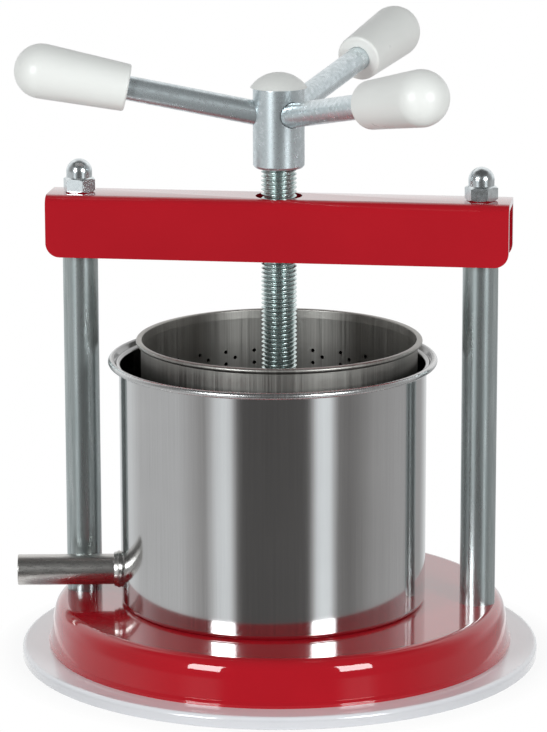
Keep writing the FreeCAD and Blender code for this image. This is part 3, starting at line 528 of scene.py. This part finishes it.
def add_foot():
    """The plastic disc, open below, with its ring, pad, ribs and two screw pillars."""
    radius = half_width("foot_plate")
    under = FOOT_TOP - 2.5 * MM
    side = 3 * MM
    half_rib = 1 * MM
    pad = 10 * MM
    ring = 62 * MM
    outline = rounded([
        (0, 0), (pad, 0), (pad, under), (ring - half_rib, under), (ring - half_rib, 0),
        (ring + half_rib, 0), (ring + half_rib, under), (radius - side, under),
        (radius - side, 0), (radius, 0, 0.5 * MM), (radius, FOOT_TOP, 2 * MM), (0, FOOT_TOP)])
    piece = finish_piece(lathe(outline, 256), "foot_disc", FOOT_PLASTIC, "frame",
                         ["foot_plate"])
    pillar_x = 45 * MM
    pillar_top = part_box("tie_bar")[0].z
    pillar = 7.5 * MM
    sink = 4.9 * MM
    sink_top = 6 * MM
    bore = 2.7 * MM
    cutters = [cutter_cylinder(sink, Vector((x, 0, -MM)), UP, sink_top + MM)
               for x in (-pillar_x, pillar_x)]
    cut_with(piece, cutters)
    smooth(piece)
    outline = [(bore, sink_top), (sink, sink_top), (sink, 0), (pillar, 0),
               (pillar, pillar_top), (bore, pillar_top)]
    for side_name, x in (("left", -pillar_x), ("right", pillar_x)):
        bm = lathe(outline, 64, Matrix.Translation((x, 0, 0)))
        finish_piece(bm, f"foot_pillar_{side_name}", FOOT_PLASTIC, "frame", [])
    bm = bmesh.new()
    rib_count = 8
    rib_low = 0.2 * MM
    rib_end = radius - side / 2
    size = Matrix.Diagonal((rib_end - ring, 2 * half_rib, under - rib_low, 1))
    for k in range(rib_count):
        turn = Matrix.Rotation(2 * math.pi * k / rib_count, 4, "Z")
        place = turn @ Matrix.Translation(((ring + rib_end) / 2, 0, (under + rib_low) / 2))
        bmesh.ops.create_cube(bm, size=1, matrix=place @ size)
    finish_piece(bm, "foot_ribs", FOOT_PLASTIC, "frame", [])


def pan_profile(inset):
    """The base's outer side, moved in by the sheet: top, edge, crown, wall and flare."""
    flat = 97.6 * MM
    edge, edge_end = 5.6 * MM, 19
    crown, crown_end = 26 * MM, 8
    waist = FOOT_TOP + 2.5 * MM
    lip = FOOT_TOP + 1.3 * MM
    edge_z = PAN_TOP - edge
    points = arc(flat, edge_z, edge - inset, 90, edge_end, 14)
    turn = math.radians(edge_end)
    crown_x = flat + (edge - crown) * math.cos(turn)
    crown_z = edge_z + (edge - crown) * math.sin(turn)
    points += arc(crown_x, crown_z, crown - inset, edge_end, crown_end, 8)[1:]
    low_turn = math.radians(crown_end)
    low_x = crown_x + crown * math.cos(low_turn)
    low_z = crown_z + crown * math.sin(low_turn)
    waist_radius = low_x + (low_z - waist) * math.tan(low_turn)
    return points + [
        (waist_radius - inset, waist - 0.2 * inset, 0.2 * MM + inset),
        (PAN_RADIUS - inset, lip - 0.4 * inset, 0.15 * MM),
        (PAN_RADIUS - inset, FOOT_TOP),
    ]


def add_base_pan():
    sheet = 1.5 * MM
    outline = [(0, PAN_TOP - sheet), (0, PAN_TOP)] + pan_profile(0)
    outline += pan_profile(sheet)[::-1]
    bm = lathe(rounded(outline, 12), 256)
    finish_piece(bm, "base_shell", PAINT, "frame", ["base_pan"])


# Posts and cap nuts

def add_post(node):
    low = PAN_TOP - 1 * MM
    top = BEAM_HIGH.z - BEAM_SHEET
    chamfer = 0.6 * MM
    outline = [(0, low), (POST_RADIUS - chamfer, low), (POST_RADIUS, low + chamfer),
               (POST_RADIUS, top - chamfer), (POST_RADIUS - chamfer, top), (0, top)]
    bm = lathe(outline, 96, Matrix.Translation((middle(node).x, 0, 0)))
    finish_piece(bm, f"{node}_bar", ZINC_POST, "frame", [node])


def add_cap_nut(node, turn):
    """A hexagon whose corners are turned off at 30 degrees, with a dome on it."""
    flat = 6.5 * MM
    corner = 8 * MM
    face = 6.1 * MM
    height = 6.5 * MM
    dome = 5.8 * MM
    rise = 6.4 * MM
    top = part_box(node)[1].z - BEAM_HIGH.z
    slope = math.tan(math.radians(30))
    sector = math.pi / 3

    def hexagonal(angle, radius, z):
        if radius < corner:
            return radius, z
        off = (angle + sector / 2) % sector - sector / 2
        reach = flat / math.cos(sector / 2 - abs(off))
        drop = (reach - face) * slope
        return reach, height - drop if z > height / 2 else drop

    place = Matrix.Translation((middle(node).x, 0, BEAM_HIGH.z))
    outline = [(0, 0), (face, 0), (corner, 0.1 * MM), (corner, height - 0.1 * MM),
               (face, height), (dome, height + 0.25 * MM)]
    outline += cap_arc(dome, rise, top, 14)
    bm = lathe(outline, 96, place @ Matrix.Rotation(turn, 4, "Z"), hexagonal)
    finish_piece(bm, f"{node}_dome", ZINC_NUT, "frame", [node], 25)


# Crossbeam

def add_crossbeam():
    """The folded channel, as sections along X that grow shorter round the end corners."""
    bend = 4.5 * MM
    corner = 6.4 * MM
    half = BEAM_HIGH.y
    top = BEAM_HIGH.z

    def section_line(inset, low):
        line = [(-half + inset, low)]
        line += arc(-half + bend, top - bend, bend - inset, 180, 90, 8)
        line += arc(half - bend, top - bend, bend - inset, 90, 0, 8)
        return line + [(half - inset, low)]

    right_end = arc(BEAM_HIGH.x - corner, BEAM_LOW.z + corner, corner, -90, 0, 12)
    left_end = [(-x, low) for x, low in reversed(right_end)]
    bm = bmesh.new()
    loops = []
    for x, low in left_end + right_end:
        loops.append([[bm.verts.new((x, y, z)) for y, z in section_line(inset, low)]
                      for inset in (0, BEAM_SHEET)])
    for here, after in zip(loops, loops[1:]):
        for a, b in zip(here, after):
            for k in range(len(a) - 1):
                bm.faces.new((a[k], a[k + 1], b[k + 1], b[k]))
        for end in (0, -1):
            bm.faces.new((here[0][end], after[0][end], after[1][end], here[1][end]))
    for outer, inner in (loops[0], loops[-1]):
        for k in range(len(outer) - 1):
            bm.faces.new((outer[k], outer[k + 1], inner[k + 1], inner[k]))
    piece = finish_piece(bm, "crossbeam_channel", PAINT, "frame", ["crossbeam"])
    hole = 10.5 * MM
    cutter = cutter_cylinder(hole, UP * (top - 2 * BEAM_SHEET), UP, 4 * BEAM_SHEET, 96)
    cut_with(piece, [cutter])
    soften_edges(piece, 0.4 * MM, 50, harden=True)


# Screw

def add_screw():
    """The right-hand thread, from the neck's shoulder up into the hub."""
    pitch = 2 * MM
    root = SCREW_RADIUS - 0.613 * pitch
    crest_edge = SCREW_RADIUS - 0.05 * MM
    steps = 48
    low = NECK_TOP + 0.5 * MM
    high = HUB_LOW + 2 * MM
    profile = [(0.0, root), (0.25, root), (0.53, crest_edge), (0.56, SCREW_RADIUS),
               (0.66, SCREW_RADIUS), (0.69, crest_edge)]
    bm = bmesh.new()
    rows = []
    for k in range(int((high - low) / pitch) * steps + 1):
        a = 2 * math.pi * k / steps
        base = low + pitch * k / steps
        rows.append([bm.verts.new((r * math.cos(a), r * math.sin(a), base + share * pitch))
                     for share, r in profile])
    for k in range(len(rows) - 1):
        for i in range(len(profile) - 1):
            bm.faces.new((rows[k][i], rows[k + 1][i], rows[k + 1][i + 1], rows[k][i + 1]))
        above = k + steps
        if above + 1 < len(rows):
            bm.faces.new((rows[k][-1], rows[k + 1][-1], rows[above + 1][0], rows[above][0]))
    finish_piece(bm, "screw_thread", ZINC_SCREW, "spindle", ["spindle"], 40,
                 closed=False)
    neck = 6 * MM
    neck_end = NECK_TOP - 16 * MM
    shoulder = low + 0.6 * MM
    outline = [(0, neck_end), (neck, neck_end), (neck, NECK_TOP),
               (SCREW_RADIUS - 0.6 * MM, NECK_TOP), (SCREW_RADIUS, NECK_TOP + 0.4 * MM),
               (SCREW_RADIUS, shoulder), (0, shoulder)]
    finish_piece(lathe(outline, 64), "screw_neck", ZINC_SCREW, "spindle", [])


# Hub, cap, rods and grips

ROD_RISE = math.radians(11.6)
ROD_FIRST = math.radians(190)
ROD_RADIUS = 5.5 * MM
ROD_REACH = 110 * MM
ROD_LEVEL = HUB_LOW + 22.5 * MM
GRIP_SEATS = {"left": 68.7 * MM, "front": 75.3 * MM, "rear": 81.0 * MM}


def rod_frame(index):
    turn = Matrix.Rotation(ROD_FIRST + index * 2 * math.pi / 3, 4, "Z")
    lean = Matrix.Rotation(math.pi / 2 - ROD_RISE, 4, "Y")
    return Matrix.Translation((0, 0, ROD_LEVEL)) @ turn @ lean


def add_hub():
    """The tube, with a notch round each rod."""
    radius = 11.6 * MM
    bore = SCREW_RADIUS + 0.02 * MM
    outline = rounded([
        (bore, HUB_LOW), (radius - 0.9 * MM, HUB_LOW, 0.3 * MM),
        (radius, HUB_LOW + 1.1 * MM, 0.4 * MM), (radius, HUB_HIGH, 0.35 * MM),
        (bore, HUB_HIGH)], 5)
    piece = finish_piece(lathe(outline, 128), "hub_tube", ZINC_ROD, "spindle", ["hub"])
    notch = ROD_RADIUS + 0.25 * MM
    notch_start = 2 * MM
    notch_length = 20 * MM
    cutters = []
    for index in range(3):
        place = rod_frame(index)
        direction = (place.to_3x3() @ UP).normalized()
        start = place.translation + direction * notch_start
        cutters.append(cutter_cylinder(notch, start, direction, notch_length))
    cut_with(piece, cutters)
    soften_edges(piece, 0.5 * MM, 40)


def add_hub_cap():
    radius = 12.8 * MM
    rise = 6.7 * MM
    plug_end = HUB_HIGH - 5 * MM
    outline = [(0, plug_end), (SCREW_RADIUS, plug_end), (SCREW_RADIUS, HUB_HIGH),
               (radius - 0.3 * MM, HUB_HIGH)]
    outline += cap_arc(radius, rise, HUB_HIGH + rise, 16)
    finish_piece(lathe(outline, 96), "hub_cap_dome", WHITE_PLASTIC, "spindle", ["hub_cap"])


def add_handle(side, index):
    place = rod_frame(index)
    root = 4.2 * MM
    edge = 0.5 * MM
    rod = [(0, root), (ROD_RADIUS - edge, root), (ROD_RADIUS, root + edge),
           (ROD_RADIUS, ROD_REACH - edge), (ROD_RADIUS - edge, ROD_REACH), (0, ROD_REACH)]
    finish_piece(lathe(rod, 64, place), f"{side}_rod_bar", ZINC_ROD, "spindle",
                 [f"{side}_rod"])
    inner = 10.6 * MM
    outer = 12.3 * MM
    length = 51.2 * MM
    bore = ROD_RADIUS + 0.02 * MM
    bore_end = 44 * MM
    seat = Matrix.Translation((0, 0, GRIP_SEATS[side]))
    grip = rounded([(0, bore_end), (bore, bore_end), (bore, 0, 0.5 * MM),
                    (inner, 0, 1.2 * MM), (outer, length - outer)], 6)
    grip += arc(0, length - outer, outer, 0, 90, 16)[1:]
    finish_piece(lathe(grip, 96, place @ seat), f"{side}_grip_body", WHITE_PLASTIC, "spindle",
                 [f"{side}_grip"])


# Pot, spout and collar

def add_pot():
    """The pot with its rounded floor edge and its curled lip, whose bead stands out."""
    sheet = 0.8 * MM
    inside = POT_WALL - sheet
    rim = 74.5 * MM
    bead = 1.5 * MM
    height = POT_HIGH - POT_LOW
    corner = 2.1 * MM
    floor = 1 * MM
    flare = height - 2.6 * MM
    outline = rounded([
        (0, 0), (POT_WALL, 0, corner), (POT_WALL, flare - 0.5 * MM, 0.4 * MM),
        (rim - 1.6 * bead, flare)])
    outline += arc(rim - bead, height - bead, bead, -110, 130, 16)
    outline += rounded([
        (rim - 1.9 * bead, height - bead, 0.5 * MM), (inside, flare, 1.5 * MM),
        (inside, floor, corner - sheet), (0, floor)])
    bm = lathe(outline, 256, Matrix.Translation(POT_CENTRE + UP * POT_LOW))
    finish_piece(bm, "pot_shell", POT_STEEL, "bucket", ["bucket"])


def add_spout():
    """The tube, and round its root the pressed collar."""
    axis = Vector(SPOUT["axis"])
    end = Vector(SPOUT["pos_m"]) + axis * (SPOUT["dims"]["length_mm"] / 2 * MM)
    place = axis.to_track_quat("Z", "Y").to_matrix().to_4x4()
    place.translation = end
    outer = 7 * MM
    inner = 6 * MM
    root = -48.5 * MM
    tube = rounded([(inner, root), (outer, root), (outer, 0, 0.35 * MM),
                    (inner, 0, 0.35 * MM)], 4)
    finish_piece(lathe(tube, 96, place), "spout_tube", SPOUT_STEEL, "bucket", ["spout"])
    low = root + 1 * MM
    high = root + 4.5 * MM
    collar = rounded([
        (outer, low), (outer + 1.0 * MM, low), (outer + 1.6 * MM, low + 1.3 * MM, 0.2 * MM),
        (outer + 1.0 * MM, low + 2.3 * MM), (outer + 0.8 * MM, high, 0.3 * MM),
        (outer, high)], 4)
    finish_piece(lathe(collar, 96, place), "spout_ring", SPOUT_STEEL, "bucket",
                 ["spout_collar"])


# Basket

HOLE_COLUMNS = 28
HOLE_PITCH = 2.9 * MM
HOLE_FIRST = 19.6 * MM
HOLE_RADIUS = 0.9 * MM
HOLE_TURN = math.radians(5.8)
HOLE_SIDES = 12
RING_STEPS = 12
RING_POINTS = HOLE_COLUMNS * RING_STEPS


def hole_cell(bm, lower, upper, centre, radius):
    """Faces round one hole between two rings of three points. Returns the hole's rim."""
    rim = []
    for k in range(HOLE_SIDES):
        a = 2 * math.pi * k / HOLE_SIDES
        turn = centre[0] + HOLE_RADIUS * math.cos(a) / BASKET_WALL
        z = centre[1] + HOLE_RADIUS * math.sin(a)
        rim.append(bm.verts.new((radius * math.cos(turn), radius * math.sin(turn), z)))
    cell = [(lower[0], 225), (lower[1], 270), (lower[2], 315),
            (upper[2], 45), (upper[1], 90), (upper[0], 135)]

    def nearest(angle):
        return min(cell, key=lambda corner: abs((corner[1] - angle + 180) % 360 - 180))[0]

    step = 360 / HOLE_SIDES
    off_tie = 0.1
    for k in range(HOLE_SIDES):
        here = nearest(k * step + off_tie)
        after = nearest((k + 1) * step + off_tie)
        following = rim[(k + 1) % HOLE_SIDES]
        bm.faces.new((rim[k], here, following))
        if after is not here:
            bm.faces.new((here, after, following))
    return rim


def basket_ring(bm, radius, z):
    points = []
    for k in range(RING_POINTS):
        a = HOLE_TURN + 2 * math.pi * (k - 1) / RING_POINTS
        points.append(bm.verts.new((radius * math.cos(a), radius * math.sin(a), z)))
    return points


def basket_band(bm, before, outline):
    """Bands of faces from a ring on through the outline. Returns the last ring."""
    for radius, z in outline:
        after = basket_ring(bm, radius, z)
        join_rings(bm, before, after)
        before = after
    return before


def join_rings(bm, first, second):
    for k in range(len(first)):
        n = (k + 1) % len(first)
        bm.faces.new((first[k], first[n], second[n], second[k]))


def holed_wall(bm, radius, first, rows):
    """The wall's rings, with a row of holes between each two. Returns rings and rims."""
    rings = [basket_ring(bm, radius, first - row * HOLE_PITCH) for row in range(rows + 1)]
    rims = []
    for row in range(rows):
        upper, lower = rings[row], rings[row + 1]
        shift = -(RING_STEPS // 3) * (row % 2)
        holed = {(shift + column * RING_STEPS) % RING_POINTS for column in range(HOLE_COLUMNS)}
        z = first - (row + 0.5) * HOLE_PITCH
        for k in range(RING_POINTS):
            n = (k + 1) % RING_POINTS
            if k in holed:
                far = (k + 2) % RING_POINTS
                centre = (HOLE_TURN + 2 * math.pi * k / RING_POINTS, z)
                rims.append(hole_cell(bm, [lower[k], lower[n], lower[far]],
                                      [upper[k], upper[n], upper[far]], centre, radius))
            elif (k - 1) % RING_POINTS not in holed:
                bm.faces.new((lower[k], lower[n], upper[n], upper[k]))
    return rings, rims


def add_basket():
    """An outer and an inner wall with their floors, joined at the holes and the rim."""
    sheet = 0.8 * MM
    inside = BASKET_WALL - sheet
    rim = 64.9 * MM
    bead = 1.05 * MM
    fold = 0.7 * MM
    lip = inside + 0.3 * MM
    corner = 5 * MM
    top = BASKET_HIGH
    first = top - HOLE_FIRST + HOLE_PITCH / 2
    rows = int((first - BASKET_LOW - corner - 2 * MM) / HOLE_PITCH)
    bm = bmesh.new()
    outer_rings, outer_rims = holed_wall(bm, BASKET_WALL, first, rows)
    inner_rings, inner_rims = holed_wall(bm, inside, first, rows)
    for outer_rim, inner_rim in zip(outer_rims, inner_rims):
        join_rings(bm, outer_rim, inner_rim)
    edge = [(BASKET_WALL, top - 2.6 * bead)]
    edge += arc(rim - bead, top - bead, bead, -120, 90, 12)
    edge += arc(lip + fold, top - fold, fold, 90, 180, 6)
    edge += [(lip, top - 1.6 * MM), (inside, top - 4.0 * MM)]
    join_rings(bm, basket_band(bm, outer_rings[0], edge), inner_rings[0])
    for rings, inset in ((outer_rings, 0), (inner_rings, sheet)):
        bend = arc(BASKET_WALL - corner, BASKET_LOW + corner, corner - inset, 0, -90, 8)
        bm.faces.new(basket_band(bm, rings[-1], bend))
    piece = finish_piece(bm, "basket_shell", BASKET_STEEL, "basket", ["basket"],
                         35)
    round_off(piece, (BASKET_WALL, inside))


def round_off(piece, radii):
    """Gives the holed wall the normals of a plain cylinder."""
    mesh = piece.data
    on_wall = 0.03 * MM
    level = 0.3
    sideways = 0.9
    normals = [(0, 0, 0)] * len(mesh.loops)
    for face in mesh.polygons:
        spots = [mesh.vertices[mesh.loops[i].vertex_index].co for i in face.loop_indices]
        if not all(any(abs(spot.xy.length - r) < on_wall for r in radii) for spot in spots):
            continue
        facing = abs(face.normal.xy.dot(face.center.xy.normalized()))
        if abs(face.normal.z) > level or facing < sideways:
            continue
        side = 1 if face.normal.dot(face.center) > 0 else -1
        for i, spot in zip(face.loop_indices, spots):
            normals[i] = (side * spot.x / spot.xy.length, side * spot.y / spot.xy.length, 0)
    mesh.normals_split_custom_set(normals)


# What stays from the construction, with its finish

def dress_frame():
    finishes = {
        "foot_screws": ZINC_ROD, "tie_bar": ZINC_ROD, "post_washers": ZINC_ROD,
        "post_nuts": ZINC_ROD, "spindle_nut": PAINT, "press_plate": PLATE_STEEL,
        "plate_boss": PLATE_STEEL, "boss_grub_screws": ZINC_ROD,
    }
    for node, material in finishes.items():
        kept = frame["nodes"][node]
        kept.data.materials.clear()
        kept.data.materials.append(material)
        smooth(kept)


# Two upright lamps, to the left and right of the camera

STRIP_TURN = math.radians(37)
STRIP_RISE = math.radians(18)
STRIP_DISTANCE = 1.5
STRIP_WIDTH = 0.43
STRIP_HEIGHT = 0.53
STRIP_RADIANCE = 15.6
STRIP_AIM = UP * 0.1
COOL_WHITE = (0.95, 0.99, 1.0)


def add_strip(name, side):
    data = bpy.data.lights.new(name, "AREA")
    data.shape = "RECTANGLE"
    data.size = STRIP_WIDTH
    data.size_y = STRIP_HEIGHT
    data.energy = STRIP_RADIANCE * STRIP_WIDTH * STRIP_HEIGHT * math.pi
    data.color = COOL_WHITE
    lamp = bpy.data.objects.new(name, data)
    bpy.context.scene.collection.objects.link(lamp)
    right, up, back = view_axes(VIEW_AZIMUTH + side * STRIP_TURN, STRIP_RISE)
    place = Matrix((right, up, back)).transposed().to_4x4()
    place.translation = STRIP_AIM + back * STRIP_DISTANCE
    lamp.matrix_world = place
    lamp.visible_camera = False


# Room

# Greys as (degrees from the camera's side, level). Metal mirrors LOW_ROOM below the
# horizon and MIRRORED_ROOM above it. HIGH_ROOM is what lights the rest from above.
LOW_ROOM = [
    (-180, 0.80), (-133, 0.80), (-118, 0.62), (-74, 0.63), (-63, 0.49), (-52, 0.36),
    (-46, 0.66), (-43, 0.86), (-36, 0.98), (-32, 0.90), (-29, 0.50), (-26.5, 0.18),
    (-23, 0.10), (0, 0.10), (24, 0.11), (27, 0.18), (29.5, 0.45), (33, 0.95), (36, 1.05),
    (43, 1.05), (46, 0.60), (50, 0.24), (59, 0.21), (70, 0.29), (81, 0.40), (107, 0.48),
    (125, 0.46), (145, 0.42), (162, 0.76), (180, 0.80)]
HIGH_ROOM = [
    (-180, 1.0), (-110, 1.0), (-70, 0.7), (-50, 0.2), (-24, 0.08), (24, 0.08), (50, 0.25),
    (75, 0.5), (110, 1.0), (180, 1.0)]
MIRRORED_ROOM = [
    (-180, 1.0), (-124, 0.9), (-95, 0.35), (-60, 0.15), (-24, 0.08), (24, 0.08), (60, 0.15),
    (95, 0.35), (124, 0.9), (180, 1.0)]
BOUNCE = (0.78, 0.78, 0.78)
CEILING = (0.1, 0.1, 0.1)
WARMTH = 0.04
ROOM_LIGHT = 0.55
HORIZON = (-0.12, 0.0)
CEILING_EDGE = (0.60, 0.80)
BACKDROP_SIDE = (118 / 360, 132 / 360)
BACKDROP_FOOT = (-0.02, 0.05)
BACKDROP_TOP = (0.78, 0.96)


def room_ramp(tree, share, stops):
    """The greys of the room at a share of the turn, the dark ones a little warmer."""
    ramp = add_node(tree, "ShaderNodeValToRGB")
    elements = ramp.color_ramp.elements
    elements[0].position = 0
    elements[1].position = 1
    for angle, _ in stops[1:-1]:
        elements.new((angle + 180) / 360)
    for element, (_, level) in zip(elements, stops):
        cast = WARMTH * (1 - 2 * level)
        element.color = (level * (1 + cast), level, level * (1 - cast / 2), 1)
    link(tree, share, ramp.inputs["Fac"])
    return ramp.outputs["Color"]


def add_world():
    """White behind the press. Metal sees a dark front, pale sides and a dim ceiling."""
    world = bpy.data.worlds.new("studio")
    bpy.context.scene.world = world
    world.use_nodes = True
    tree = world.node_tree
    tree.nodes.clear()
    output = add_node(tree, "ShaderNodeOutputWorld")
    room = add_node(tree, "ShaderNodeBackground")
    white = add_node(tree, "ShaderNodeBackground")
    white.inputs["Color"].default_value = (1, 1, 1, 1)
    parts = split(tree, texture_point(tree, "Generated"))
    height = parts["Z"]
    turn = maths(tree, "ARCTAN2", parts["X"], maths(tree, "MULTIPLY", parts["Y"], -1))
    turn = maths(tree, "SUBTRACT", turn, VIEW_AZIMUTH)
    turn = maths(tree, "DIVIDE", turn, 2 * math.pi)
    share = maths(tree, "FRACT", maths(tree, "ADD", turn, 1.5))
    path = add_node(tree, "ShaderNodeLightPath")
    glossy = path.outputs["Is Glossy Ray"]
    low = mix_colours(tree, glossy, BOUNCE, room_ramp(tree, share, LOW_ROOM))
    high = mix_colours(tree, glossy, room_ramp(tree, share, HIGH_ROOM),
                       room_ramp(tree, share, MIRRORED_ROOM))
    walls = mix_colours(tree, between(tree, height, 0, 1, *HORIZON), low, high)
    whole = mix_colours(tree, between(tree, height, 0, 1, *CEILING_EDGE), walls, CEILING)
    link(tree, whole, room.inputs["Color"])
    link(tree, between(tree, glossy, ROOM_LIGHT, 1, 0, 1), room.inputs["Strength"])
    aside = maths(tree, "ABSOLUTE", maths(tree, "SUBTRACT", share, 0.5))
    behind = between(tree, aside, 0, 1, *BACKDROP_SIDE)
    upright = maths(tree, "MULTIPLY", between(tree, height, 0, 1, *BACKDROP_FOOT),
                    between(tree, height, 1, 0, *BACKDROP_TOP))
    backdrop = maths(tree, "MULTIPLY", behind, upright)
    seen = highest(tree, maths(tree, "MULTIPLY", glossy, backdrop),
                   path.outputs["Is Camera Ray"], path.outputs["Is Transmission Ray"])
    mix_shaders(tree, seen, room, white, output)


# Table top

FLOOR_RADIUS = 0.14
FLOOR_FADE = (0.120, 0.134)


def add_floor():
    """A small white table top; only the press's own shadow shows on it."""
    bm = bmesh.new()
    bmesh.ops.create_circle(bm, cap_ends=True, segments=128, radius=FLOOR_RADIUS)
    floor = add_object(bm, "floor")
    material = bpy.data.materials.new("floor")
    material.use_nodes = True
    tree = material.node_tree
    shader = tree.nodes["Principled BSDF"]
    shader.inputs["Base Color"].default_value = (0.95, 0.95, 0.96, 1)
    shader.inputs["Roughness"].default_value = 0.6
    shader.inputs["Specular IOR Level"].default_value = 0.2
    glow = add_node(tree, "ShaderNodeEmission")
    path = add_node(tree, "ShaderNodeLightPath")
    seen = highest(tree, path.outputs["Is Camera Ray"], path.outputs["Is Glossy Ray"],
                   path.outputs["Is Transmission Ray"])
    reach = vectors(tree, "LENGTH", texture_point(tree), result="Value")
    glowing = maths(tree, "MULTIPLY", seen, between(tree, reach, 0.9, 1, *FLOOR_FADE))
    mix_shaders(tree, glowing, shader, glow, tree.nodes["Material Output"])
    floor.data.materials.append(material)


add_camera()
add_foot()
add_base_pan()
for post in ("left_post", "right_post"):
    add_post(post)
add_cap_nut("left_cap_nut", math.radians(-8))
add_cap_nut("right_cap_nut", math.radians(-3))
add_crossbeam()
add_screw()
add_hub()
add_hub_cap()
for handle_index, handle_side in enumerate(("left", "front", "rear")):
    add_handle(handle_side, handle_index)
add_pot()
add_spout()
add_basket()
dress_frame()
add_world()
for strip_name, strip_side in (("strip_left", -1), ("strip_right", 1)):
    add_strip(strip_name, strip_side)
bpy.context.scene.view_settings.view_transform = "Standard"
add_floor()
